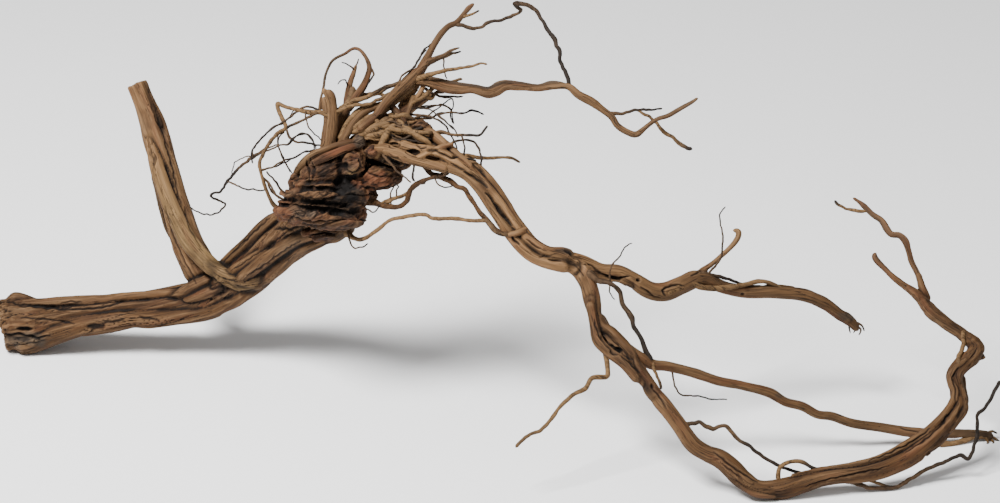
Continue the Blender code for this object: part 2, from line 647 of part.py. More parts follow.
def main():
    for thing in list(bpy.data.objects):
        bpy.data.objects.remove(thing)
    driftwood = bpy.data.collections.new("driftwood")
    runs = bpy.data.collections.new("runs")
    cutters = bpy.data.collections.new("cutters")
    for collection in (driftwood, runs, cutters):
        bpy.context.scene.collection.children.link(collection)
    for group in (TRUNK_AND_NECK, STEM_AND_LIMBS, CROWN):
        for name, stations in group.items():
            add_run(name, thinned(smoothed(stations)), runs)
    for name, (places, behind, radius) in ROOTLETS.items():
        add_run(name, thinned(rootlet_stations(places, behind, radius)), runs)
    for name, (middle, half_sizes, turn) in BURL_LUMPS.items():
        add_lump(name, middle, half_sizes, turn, runs)
    base = runs.objects["heart"]
    runs.objects.unlink(base)
    driftwood.objects.link(base)
    base.name = "driftwood"
    join_all(base, runs, cutters)
    base.data.materials.clear()
    base.data.materials.append(wood_material())
    base.data.shade_smooth()
    base.data.set_sharp_from_angle(angle=CREASE_ANGLE)


main()
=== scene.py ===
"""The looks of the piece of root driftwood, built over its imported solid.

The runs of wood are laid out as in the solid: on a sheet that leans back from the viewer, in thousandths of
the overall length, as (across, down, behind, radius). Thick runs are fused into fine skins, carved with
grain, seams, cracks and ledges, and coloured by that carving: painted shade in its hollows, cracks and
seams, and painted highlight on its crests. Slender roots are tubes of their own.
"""

import itertools
import math

import bpy
import numpy as np
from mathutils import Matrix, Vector


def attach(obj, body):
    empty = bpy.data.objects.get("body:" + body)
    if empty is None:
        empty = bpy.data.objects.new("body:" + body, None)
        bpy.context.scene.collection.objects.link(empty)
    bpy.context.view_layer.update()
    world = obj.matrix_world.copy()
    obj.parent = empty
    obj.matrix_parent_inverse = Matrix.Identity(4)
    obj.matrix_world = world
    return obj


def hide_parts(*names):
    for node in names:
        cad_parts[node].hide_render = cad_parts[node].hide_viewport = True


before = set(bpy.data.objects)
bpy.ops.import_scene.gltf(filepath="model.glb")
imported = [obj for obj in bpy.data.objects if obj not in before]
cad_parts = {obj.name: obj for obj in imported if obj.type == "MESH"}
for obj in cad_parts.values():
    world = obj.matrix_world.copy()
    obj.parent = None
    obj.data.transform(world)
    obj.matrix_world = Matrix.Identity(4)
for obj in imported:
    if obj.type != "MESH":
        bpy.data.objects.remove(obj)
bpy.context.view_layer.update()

# Driving dimensions, in metres and radians, as in the solid.
OVERALL_LENGTH = 0.80
UNIT = OVERALL_LENGTH / 1000
LEAN = math.radians(25)
SHEET_MIDDLE = np.array((0.0144, 0.0425, 0.1088))
SIGHT_DISTANCE = 3 * OVERALL_LENGTH
SHEET_HALF_WIDTH, SHEET_HALF_HEIGHT = 500, 251.5
MM = 0.001

# The sheet's own directions: to the right, up along it, and away from the viewer.
SHEET_UP = np.array((0.0, math.sin(LEAN), math.cos(LEAN)))
SHEET_BACK = np.array((0.0, math.cos(LEAN), -math.sin(LEAN)))

# The trunk, its upright stub and the neck that rises to the burl.
TRUNK_AND_NECK = {
    "butt": [
        (2, 325, 101, 25), (14, 323, 102, 26.5), (32, 323, 100, 25.5), (52, 320, 98, 22.5),
        (75, 317, 96, 20.5), (100, 314.5, 93, 19.5), (125, 311, 90, 18), (150, 308.5, 86, 17),
        (175, 305, 81, 17.5), (200, 301, 74, 18), (225, 290, 60, 18.5), (249, 273, 38, 18),
        (273, 249.5, 8, 18), (297, 227, -30, 18.5), (321, 206, -66, 21.5),
    ],
    "butt_crest": [
        (6, 303, 98, 8), (16, 300, 97, 9), (40, 305, 96, 8), (75, 304, 94, 8), (110, 301, 90, 7),
        (150, 296.5, 84, 7.5), (185, 291, 78, 8.5), (205, 285, 72, 8),
    ],
    "butt_belly": [
        (8, 336.5, 97, 17.5), (30, 336.5, 95, 16.5), (55, 331, 88, 13.5), (90, 323, 82, 12),
        (130, 318, 78, 11), (152, 317.5, 76, 11.5), (180, 313.5, 73, 11.5), (210, 308, 64, 11),
        (242, 294, 42, 9), (266.5, 276.5, 16, 8.5), (289, 256.5, -14, 7.5), (313, 242.5, -42, 7),
        (337, 235, -66, 7), (353, 225, -82, 6.5),
    ],
    "neck_top": [
        (196, 282, 72, 9), (214, 272, 60, 7), (232, 257, 48, 7), (250, 239, 28, 7), (267, 224, 6, 7.5),
        (284, 211, -22, 9),
    ],
    "neck_front": [
        (214, 284, 46, 7), (234, 270, 30, 7.5), (254, 257, 8, 7), (274, 246, -14, 7), (292, 237, -38, 7),
        (310, 233, -62, 6),
    ],
    "neck_back": [
        (205, 292, 92, 12), (240, 268, 72, 12), (270, 240, 44, 12), (296, 212, 6, 14),
        (318, 190, -36, 17),
    ],
    "stub": [
        (137, 83.5, 86, 10.8), (143.5, 100, 85, 11), (151, 120, 84, 12.5), (157, 140, 82, 13.5),
        (163, 160, 81, 13), (168, 180, 80, 13.5), (173, 200, 79, 14.5), (179, 220, 78, 15.5),
        (186, 240, 77, 16), (196, 262, 76, 17), (208, 284, 72, 17), (222, 298, 62, 15),
    ],
    "stub_band": [
        (150, 142, 74, 6), (157, 165, 70, 8), (163, 185, 66, 8.5), (170, 205, 62, 9), (180, 226, 58, 9),
        (192, 246, 52, 9.5), (208, 264, 46, 10), (227, 277, 38, 10), (246, 283, 28, 9.5),
        (265, 276.5, 16, 8.4), (283, 262.5, -2, 7.6), (304, 248, -24, 6.6), (324, 239, -48, 6.3),
        (343, 231, -68, 6.3),
    ],
}

# The limbs that leave the burl to the right.
STEM_AND_LIMBS = {
    "stem_low": [
        (366, 146, -98, 8), (384, 150, -116, 8), (402, 157, -126, 7.5), (422, 163, -130, 7),
        (446, 166, -132, 7.8), (466, 174.5, -134, 8), (484, 190.5, -136, 8.2), (497, 210, -137, 8.6),
        (510, 231.5, -138, 9), (525.5, 247, -139, 9.4), (545, 259.5, -139, 10), (565, 264.5, -138, 10.6),
        (578, 269, -138, 10),
    ],
    "stem_high": [
        (374, 140, -84, 8), (396, 143, -98, 10), (425, 143, -108, 10.5), (446, 153, -114, 10.5),
        (466, 167, -120, 9.5), (482, 180, -124, 9.5), (496.5, 196.5, -126, 9.8), (508.5, 215, -127, 10),
        (519.5, 234, -128, 8.4), (538, 251.5, -129, 8), (560, 257, -130, 8.5), (576, 264, -130, 9),
    ],
    "stem_coil": [
        (392, 130, -88, 7), (410, 128, -100, 9), (428, 132.5, -110, 7.6), (444, 144, -120, 6.6),
        (458, 155.5, -128, 5), (472, 168, -134, 4.5),
    ],
    "descender": [
        (566, 260, -134, 10), (580, 270, -136, 10), (588, 284, -138, 9), (592.5, 302, -142, 9),
        (597, 318, -146, 8), (606, 331.5, -150, 7), (618, 343, -155, 7), (629, 356, -161, 7),
        (640, 371, -167, 7.5), (652.5, 391.5, -172, 9), (666, 407.5, -175, 8.2), (680, 426, -177, 8.2),
        (693, 444, -179, 8.5), (706, 453, -180, 8.5), (721, 459, -181, 10), (733.5, 469.5, -181, 11),
        (743, 480, -181, 10.4), (758, 488, -180, 9.5), (779, 489, -178, 11), (800, 483, -177, 10.8),
        (820, 477, -175, 10.4), (840, 474, -173, 10), (861, 472.5, -171, 9.8), (881, 468, -168, 10),
        (902, 459.5, -164, 10.5), (919, 448.5, -159, 11.5), (935, 435.5, -153, 12), (949, 420.5, -147, 10.8),
        (957.5, 405.5, -141, 9.6), (957, 390, -137, 8), (954, 376, -134, 9), (961, 365, -131, 9),
        (973, 354, -128, 10), (975, 346, -125, 9), (962, 334, -120, 6.5), (946, 323, -116, 6.3),
        (931, 311, -110, 7), (921, 298, -105, 6.5),
    ],
    "descender_twin": [
        (590, 300, -148, 6), (593.5, 322, -154, 5), (598, 340, -160, 6), (610, 353, -166, 5.5),
        (625, 364, -170, 6), (640, 382, -174, 6),
    ],
    "loop_rib": [
        (926, 452, -160, 5), (942, 434, -152, 6), (956, 416, -142, 6), (964, 402, -136, 4.5),
        (963, 388, -130, 3.5), (962, 374, -128, 3),
    ],
    "elbow_spur": [(972, 352, -126, 8), (980, 356, -126, 5), (986, 357, -126, 1.6)],
    "arm_low": [
        (924, 298, -104, 5), (912, 290, -103, 4), (902, 284, -102, 3.6), (892, 276, -100, 3.2),
        (884, 268, -97, 3), (877, 261, -95, 3.4), (874, 256, -94, 3.2), (876, 252, -93, 2),
    ],
    "arm_high": [
        (928, 302, -104, 5), (922, 287, -99, 3.6), (917, 273, -92, 3), (911, 261, -86, 3),
        (908, 250, -82, 3), (905, 241, -78, 3.6), (899, 235, -75, 3.2), (891, 234, -72, 3.2),
        (886, 228, -69, 3.6), (881, 220, -66, 3.2), (872, 214, -63, 3), (864, 206, -59, 3),
        (858, 201, -56, 2), (852, 197, -54, 1.6),
    ],
    "straight": [
        (622, 344, -154, 5), (638, 356, -155, 6), (652, 364, -151, 5.5), (668, 366, -147, 5.2),
        (692, 372, -140, 5.3), (716, 380, -133, 5), (741, 385, -126, 4.8), (768, 392, -119, 5.2),
        (784, 401, -114, 4.8), (802, 406, -109, 4.6), (817, 414, -105, 4.6), (832, 416, -101, 4.6),
        (852, 423, -97, 4.7), (880, 427, -91, 4.8), (912, 432, -86, 5.2), (940, 433, -82, 4.8),
        (965, 433, -78, 4.4), (983, 434, -74, 4.4), (993, 438, -73, 5.6),
    ],
    "reach": [
        (560, 256, -126, 8), (580, 262, -124, 8), (600, 270, -121, 7.5), (618, 272, -118, 8),
        (634, 281, -113, 8.6), (650, 290, -107, 8.8), (665, 291, -101, 9.6), (682, 284, -94, 9.4),
        (700, 277.5, -87, 8.6), (720, 286, -79, 6.8), (742, 291, -71, 6.8), (770, 291, -62, 7),
        (800, 293.5, -53, 7), (822, 302, -46, 6.6), (838, 313, -41, 6.4), (849.5, 320.5, -37, 5.6),
        (858, 330.5, -34, 3.6),
    ],
    "reach_twig": [
        (698, 272, -86, 3.5), (708, 266, -84, 3), (718, 258, -81, 2.6), (730, 247, -77, 2.8),
        (737, 238, -74, 3), (738, 231, -72, 3), (732, 230, -70, 2),
    ],
}

# The crown of roots above the burl.
CROWN = {
    "crown_root": [
        (345, 160, -86, 16), (364, 148, -90, 15), (382, 140, -92, 14), (398, 130, -90, 11),
        (404, 116, -86, 7), (406, 102, -84, 6), (412, 88, -84, 5.5), (420, 74, -82, 5),
    ],
    "crown_front": [
        (357, 130, -114, 4), (366, 123, -112, 4.5), (376, 115, -110, 4.8), (384, 104, -107, 5),
        (392, 96, -103, 5.5), (402, 87, -98, 6), (412, 78, -93, 6), (420, 69, -89, 4.6),
        (428, 62, -86, 3.8), (437, 58, -82, 3), (444, 55, -80, 2.6), (451, 50, -77, 1.8),
        (460, 47, -74, 1),
    ],
    "crown_back": [
        (388, 138, -78, 7), (400, 122, -68, 6), (408, 110, -60, 5), (418, 103, -54, 4.2),
        (428, 97, -48, 3), (438, 92, -43, 1.6),
    ],
    "top_limb": [
        (414, 80, -86, 6), (424, 63, -76, 4.8), (430, 51, -70, 3.8), (435, 42, -66, 3.6),
        (441, 33, -62, 3.4), (448, 26, -59, 3.2), (456, 22, -56, 3), (463, 14, -52, 2.4),
        (469, 7, -49, 2.6), (474, 3, -47, 1.4),
    ],
    "far_arm": [
        (412, 80, -92, 5), (428, 83, -92, 4), (445, 89, -95, 3.8), (460, 91, -98, 3.4),
        (471, 90, -100, 3.4), (480, 92, -102, 3.8), (488, 94, -104, 4.2), (497, 92, -106, 3.8),
        (506, 87, -107, 3.6), (520, 87, -109, 3.4), (538, 88, -111, 3.2), (554, 86, -113, 3.2),
        (568, 86, -115, 3.6), (578, 94, -117, 4.2), (591, 101, -119, 4.6), (602, 109, -121, 3.6),
        (611, 116, -123, 3.6), (617, 125, -125, 3.4), (626, 131, -127, 3.4), (636, 134, -129, 3.4),
        (645, 127, -131, 2.6), (656, 119, -133, 2.3), (668, 115, -135, 2.5), (682, 107, -138, 2.4),
        (691, 102, -140, 2), (698, 97, -142, 1.5),
    ],
    "far_arm_twin": [
        (414, 76, -84, 3), (430, 78, -86, 2.6), (445, 81, -90, 2.4), (462, 84, -95, 2.2),
        (476, 86, -99, 2.2), (488, 88, -102, 2.2), (497, 83, -105, 2.2), (506, 81, -106, 2),
        (522, 83, -108, 2), (538, 85, -110, 1.8), (550, 82, -112, 2), (564, 83, -114, 2),
    ],
    "arch": [
        (345, 112, -92, 5), (356, 96, -92, 4.2), (363, 86, -88, 4), (367, 76, -82, 3.2),
        (369, 67, -77, 2.8), (366, 58, -72, 2.2), (360, 50, -68, 1.9), (353, 48, -64, 1.8),
        (345, 53, -62, 1.7), (335, 58, -60, 1.7), (330, 63, -60, 1.6), (325, 75, -62, 1.6),
        (323, 88, -68, 1.6), (320, 100, -77, 1.6), (319, 112, -86, 1.8),
    ],
    "finger_back": [
        (340, 132, -88, 5), (345, 112, -82, 4.2), (347, 98, -76, 4), (349, 85, -68, 3.2),
        (353, 73, -61, 2.6), (356, 64, -56, 1.4),
    ],
    "finger_blunt": [
        (330, 150, -100, 5), (333, 132, -103, 4.6), (334, 116, -106, 4.2), (333, 104, -108, 4),
        (331, 95, -110, 4), (326, 89, -111, 2.8),
    ],
    "finger_left": [
        (322, 154, -94, 4), (324, 138, -90, 3.6), (326, 122, -86, 3.4), (325, 108, -82, 3),
        (323, 96, -78, 2.6),
    ],
    "finger_thick": [(326, 156, -96, 8), (334, 138, -93, 7.4), (341, 120, -90, 6), (347, 104, -90, 4.6)],
    "finger_right": [
        (336, 152, -106, 5), (345, 136, -106, 4.4), (354, 122, -104, 4.2), (364, 112, -101, 3.8),
        (375, 107, -101, 3.4), (388, 104, -101, 3.2), (396, 97, -100, 3),
    ],
    "antler": [
        (331, 117, -88, 2.6), (320, 112, -86, 2.2), (308, 112, -84, 2.2), (296, 109, -80, 1.8),
        (286, 107, -76, 1.6), (277, 103, -72, 2), (279, 112, -74, 2), (283, 121, -78, 1.9),
        (285, 128, -82, 2), (276, 134, -88, 1.8), (268, 144, -94, 1.7), (262, 155, -98, 1.7),
        (259, 165, -98, 1.5), (262, 178, -94, 1.4), (266, 190, -88, 1.4), (271, 201, -84, 1.6),
        (279, 210, -80, 2), (290, 214, -84, 2),
    ],
    "hoop": [
        (452, 24, -56, 1.8), (463, 25, -58, 1.8), (471, 28, -60, 1.6), (481, 27, -62, 1.5),
        (489, 22, -64, 1.5), (503, 19, -66, 1.4), (513, 15, -67, 1.5), (520, 10, -70, 1.5),
        (517, 7, -76, 1.7), (514, 3.5, -82, 2), (523, 3.5, -86, 2.1), (532, 7, -88, 1.9),
        (541, 19, -92, 1.7), (549, 32, -97, 1.7), (554, 38, -100, 2), (556, 45, -102, 1.8),
        (559, 51, -104, 1.9), (560, 61, -107, 1.7), (565, 72, -111, 1.8), (570, 88, -116, 2),
    ],
    "under_root": [
        (360, 198, -84, 6), (374, 202, -90, 3.2), (386, 206, -98, 2.5), (398, 206, -106, 2.3),
        (406, 201, -112, 2.2), (410, 190, -118, 2.2), (416, 183, -122, 2), (426, 179, -126, 1.9),
        (437, 176, -129, 2), (449, 172, -131, 2.4),
    ],
    "under_twin": [
        (424, 163, -124, 4), (429, 172, -122, 2.6), (441, 176.5, -124, 2.8), (450, 181, -126, 2.5),
        (457, 186, -128, 2.2), (464, 188.5, -130, 2.2), (469, 196, -132, 2), (474, 203.5, -134, 2),
        (479, 211, -136, 2), (486, 218.5, -140, 2.2), (494, 229, -144, 2.6), (503, 233.5, -144, 2.6),
        (516, 231, -142, 3),
    ],
    "low_root": [
        (344, 230, -80, 4), (354, 238, -86, 2), (364, 238, -92, 1.9), (374, 232, -98, 1.8),
        (388, 221, -106, 1.8), (402, 217, -112, 1.8), (423, 214, -120, 1.7), (434, 218, -124, 1.7),
        (454, 218, -132, 1.8), (467, 220, -138, 1.7), (486, 221, -143, 1.8), (494, 230, -146, 1.9),
        (501, 234, -146, 1.9), (514, 233, -142, 2.4),
    ],
    "drip": [
        (586, 270, -142, 4), (597, 280, -146, 2.4), (610, 283, -148, 2.2), (619, 291, -148, 2.2),
        (622, 303, -148, 2.2), (630, 315, -150, 2.4), (634, 327, -152, 2), (641, 339, -154, 2),
        (645, 350, -155, 2.4), (651, 361, -155, 2.6),
    ],
}

# Slender roots: places on the sheet, how far behind it they start and end, and their first and last radius.
ROOTLETS = {
    "bare_kink": (
        [(603, 346), (606, 360), (607, 375), (600, 377), (591, 378), (585, 388), (575, 393), (560, 406),
         (549, 421), (540, 430), (528, 435), (515, 447)],
        (-160, -196), (2.4, 1.5),
    ),
    "drip_tail": (
        [(651, 361), (656, 374), (661, 389)],
        (-155, -160), (1.6, 1.2),
    ),
    "hair_curl": (
        [(672, 370), (674, 386), (683, 395), (698, 396), (712, 399), (727, 399)],
        (-146, -120), (0.9, 0.6),
    ),
    "dark_creeper": (
        [(682, 424), (694, 423), (700, 421), (706, 426), (714, 428), (724, 425), (731, 431), (739, 440),
         (750, 446), (757, 452), (769, 460), (782, 467), (797, 471), (808, 476)],
        (-177, -171), (2.0, 1.4),
    ),
    "arm_arch": (
        [(778, 484), (778, 472), (784, 463), (800, 461), (812, 467), (826, 471)],
        (-180, -176), (2.2, 1.5),
    ),
    "low_twig": (
        [(836, 478), (858, 484), (872, 488), (893, 487), (901, 484), (911, 478), (927, 468), (941, 463),
         (953, 457), (961, 455), (969, 458), (975, 442), (977, 432), (977, 416), (985, 407), (993, 393),
         (1000, 380)],
        (-172, -136), (1.9, 1.6),
    ),
    "low_twig_feeder": (
        [(858, 474), (870, 480), (882, 485), (893, 487)],
        (-168, -163), (1.5, 1.3),
    ),
    "elbow_strap": (
        [(963, 330), (963, 342), (961, 351), (958, 357), (959, 366)],
        (-124, -138), (2.2, 2.0),
    ),
    "toe_strand": (
        [(926, 434), (938, 442), (950, 444), (960, 441), (974, 437), (986, 437)],
        (-86, -75), (4.0, 1.6),
    ),
    "arm_high_twig": (
        [(868, 211), (853, 210), (845, 208), (838, 204), (834, 200)],
        (-61, -50), (1.6, 1.3),
    ),
    "reach_vine": (
        [(664, 294), (676, 288), (691, 283), (699, 286), (710, 288), (730, 287), (745, 284), (757, 281),
         (768, 282), (783, 289)],
        (-108, -61), (3.2, 1.6),
    ),
    "reach_vine_twin": (
        [(701, 273), (718, 276), (737, 282), (749, 287)],
        (-91, -71), (1.7, 1.2),
    ),
    "reach_hair": (
        [(706, 276), (714, 267), (720, 258), (722, 245), (723, 237), (720, 224), (720, 213), (725, 206)],
        (-88, -104), (1.1, 0.6),
    ),
    "fork_hair": (
        [(610, 284), (609, 272), (613, 263), (620, 255), (624, 247), (632, 243)],
        (-148, -160), (0.9, 0.6),
    ),
    "fork_hair_drop": (
        [(610, 282), (609, 292), (615, 299)],
        (-148, -154), (0.7, 0.5),
    ),
    "far_fork": (
        [(608, 113), (620, 113), (632, 110), (641, 109), (652, 109), (662, 108)],
        (-123, -116), (1.8, 0.8),
    ),
    "far_fork_drop": (
        [(636, 110), (648, 116), (656, 123), (662, 130), (673, 138), (681, 145), (692, 149)],
        (-119, -122), (1.2, 2.0),
    ),
    "top_spur": (
        [(461, 17), (470, 14), (479, 10)],
        (-53, -58), (1.6, 0.8),
    ),
    "crown_spur": (
        [(441, 58), (449, 54), (461, 51)],
        (-81, -70), (1.6, 0.8),
    ),
    "crown_needle": (
        [(412, 80), (430, 74), (446, 70), (470, 66), (481, 63), (487, 64)],
        (-94, -110), (2.6, 0.8),
    ),
    "crown_wire": (
        [(398, 88), (400, 77), (412, 68), (418, 60), (423, 50), (431, 43)],
        (-98, -67), (0.9, 0.8),
    ),
    "arm_shelf": (
        [(428, 81), (444, 82), (455, 80), (462, 78)],
        (-88, -84), (1.8, 1.2),
    ),
    "cross_high": (
        [(331, 117), (345, 105), (360, 99), (376, 93), (392, 85), (404, 82)],
        (-105, -97), (2.2, 1.6),
    ),
    "cross_low": (
        [(334, 112), (350, 106), (368, 104), (388, 94), (398, 92)],
        (-108, -103), (1.8, 1.4),
    ),
    "ribbon": (
        [(358, 140), (370, 138), (390, 138), (412, 139), (426, 135), (440, 131), (450, 134), (470, 135),
         (480, 134), (487, 125)],
        (-98, -128), (2.2, 1.0),
    ),
    "ribbon_low": (
        [(356, 146), (376, 143), (394, 140), (404, 134), (409, 127)],
        (-102, -108), (2.2, 1.4),
    ),
    "drop_thread": (
        [(402, 138), (410, 152), (414, 164), (412, 174), (413, 181)],
        (-106, -140), (1.1, 0.7),
    ),
    "drop_thread_left": (
        [(382, 154), (394, 168), (403, 176), (411, 182)],
        (-118, -132), (1.3, 0.7),
    ),
    "needle_right": (
        [(452, 154), (472, 156), (487, 158), (500, 157), (512, 158), (520, 162)],
        (-116, -96), (2.2, 1.1),
    ),
    "hoop_right": (
        [(444, 146), (455, 141), (466, 139), (474, 142), (480, 152), (481, 166)],
        (-112, -122), (1.1, 0.9),
    ),
    "hoop_right_drop": (
        [(460, 134), (464, 145), (464, 156)],
        (-126, -118), (0.9, 0.8),
    ),
    "wisp_a": (
        [(398, 122), (415, 118), (430, 118), (438, 113), (450, 112), (464, 113), (472, 109), (484, 114)],
        (-82, -60), (1.2, 0.6),
    ),
    "wisp_b": (
        [(400, 114), (418, 114), (432, 117), (444, 124), (450, 134), (457, 149)],
        (-86, -110), (1.2, 0.7),
    ),
    "wisp_c": (
        [(405, 107), (428, 107), (442, 104), (451, 110), (452, 117), (454, 124)],
        (-85, -60), (1.0, 0.5),
    ),
    "wisp_d": (
        [(406, 119), (420, 119), (436, 109), (451, 98), (453, 105), (450, 112)],
        (-87, -64), (0.8, 0.6),
    ),
    "wisp_e": (
        [(420, 84), (430, 91), (442, 96), (463, 96)],
        (-90, -76), (1.0, 0.6),
    ),
    "wisp_f": (
        [(405, 105), (416, 106), (430, 110), (442, 119), (454, 129)],
        (-85, -104), (0.8, 0.5),
    ),
    "left_rod": (
        [(318, 112), (306, 118), (295, 123), (285, 128)],
        (-88, -82), (1.3, 1.2),
    ),
    "left_rod_low": (
        [(285, 127), (290, 138), (297, 142), (308, 143), (326, 146)],
        (-82, -92), (1.2, 0.9),
    ),
    "feeler": (
        [(266, 148), (255, 155), (244, 163), (236, 170), (227, 181), (220, 191), (212, 193), (212, 197),
         (224, 203), (221, 210), (211, 214), (198, 212), (189, 206)],
        (-94, 40), (1.6, 0.6),
    ),
    "feeler_side": (
        [(227, 181), (244, 188), (266, 190)],
        (-42, -88), (0.9, 0.7),
    ),
    "feeler_bow": (
        [(253, 157), (252, 150), (258, 141), (272, 127), (284, 122), (294, 109)],
        (-78, -79), (0.7, 0.6),
    ),
    "feeler_loop": (
        [(255, 155), (243, 157), (234, 163), (231, 177)],
        (-80, -47), (0.6, 0.5),
    ),
    "thread_high": (
        [(263, 150), (276, 145), (288, 144), (296, 135), (307, 134), (315, 146), (316, 156)],
        (-96, -100), (0.7, 0.6),
    ),
    "thread_low": (
        [(261, 170), (273, 167), (292, 158), (306, 151), (318, 153)],
        (-96, -92), (0.8, 0.7),
    ),
    "thread_drop": (
        [(305, 110), (307, 124), (314, 133), (324, 143)],
        (-86, -92), (0.7, 0.6),
    ),
    "thread_inner": (
        [(285, 129), (277, 137), (281, 155), (296, 180)],
        (-82, -84), (0.6, 0.5),
    ),
    "spike_left": (
        [(296, 198), (281, 190), (274, 180), (266, 171)],
        (-86, -104), (1.3, 0.8),
    ),
    "spike_left_low": (
        [(298, 205), (277, 196), (270, 185), (262, 175)],
        (-84, -95), (1.3, 0.8),
    ),
    "hook_bottom": (
        [(346, 227), (352, 247), (360, 247), (368, 243)],
        (-84, -104), (0.9, 0.6),
    ),
    "under_spike": (
        [(380, 204), (392, 198), (402, 196), (410, 189), (418, 184), (425, 182)],
        (-94, -112), (1.6, 1.0),
    ),
    "arch_side": (
        [(368, 64), (373, 74), (366, 86)],
        (-76, -88), (1.0, 0.8),
    ),
    "finger_twig": (
        [(354, 70), (349, 65), (341, 62)],
        (-60, -70), (0.9, 0.5),
    ),
    "finger_twig_up": (
        [(355, 68), (358, 58)],
        (-58, -52), (0.9, 0.5),
    ),
    "finger_twig_low": (
        [(348, 88), (344, 79), (337, 84)],
        (-70, -84), (0.8, 0.5),
    ),
}

# Lumps of the burl: middle (across, down, behind), half sizes (along, across, deep) and the long way's turn.
BURL_LUMPS = {
    "heart": ((326, 190, -72), (38, 38, 34), 20),
    "shoulder": ((328, 168, -92), (37, 18, 26), -35),
    "knot": ((350, 163, -104), (16, 16, 16), 0),
    "shelf_mid": ((318, 195, -96), (39, 9, 24), 2),
    "shelf_low": ((318, 216, -92), (46, 12, 24), 9),
    "dark_side": ((352, 190, -94), (20, 20, 22), 0),
    "ruffle": ((378, 178, -98), (25, 13, 14), -8),
    "heel": ((352, 220, -78), (19, 14, 20), -30),
    "back_hump": ((336, 186, -52), (30, 28, 24), -30),
}

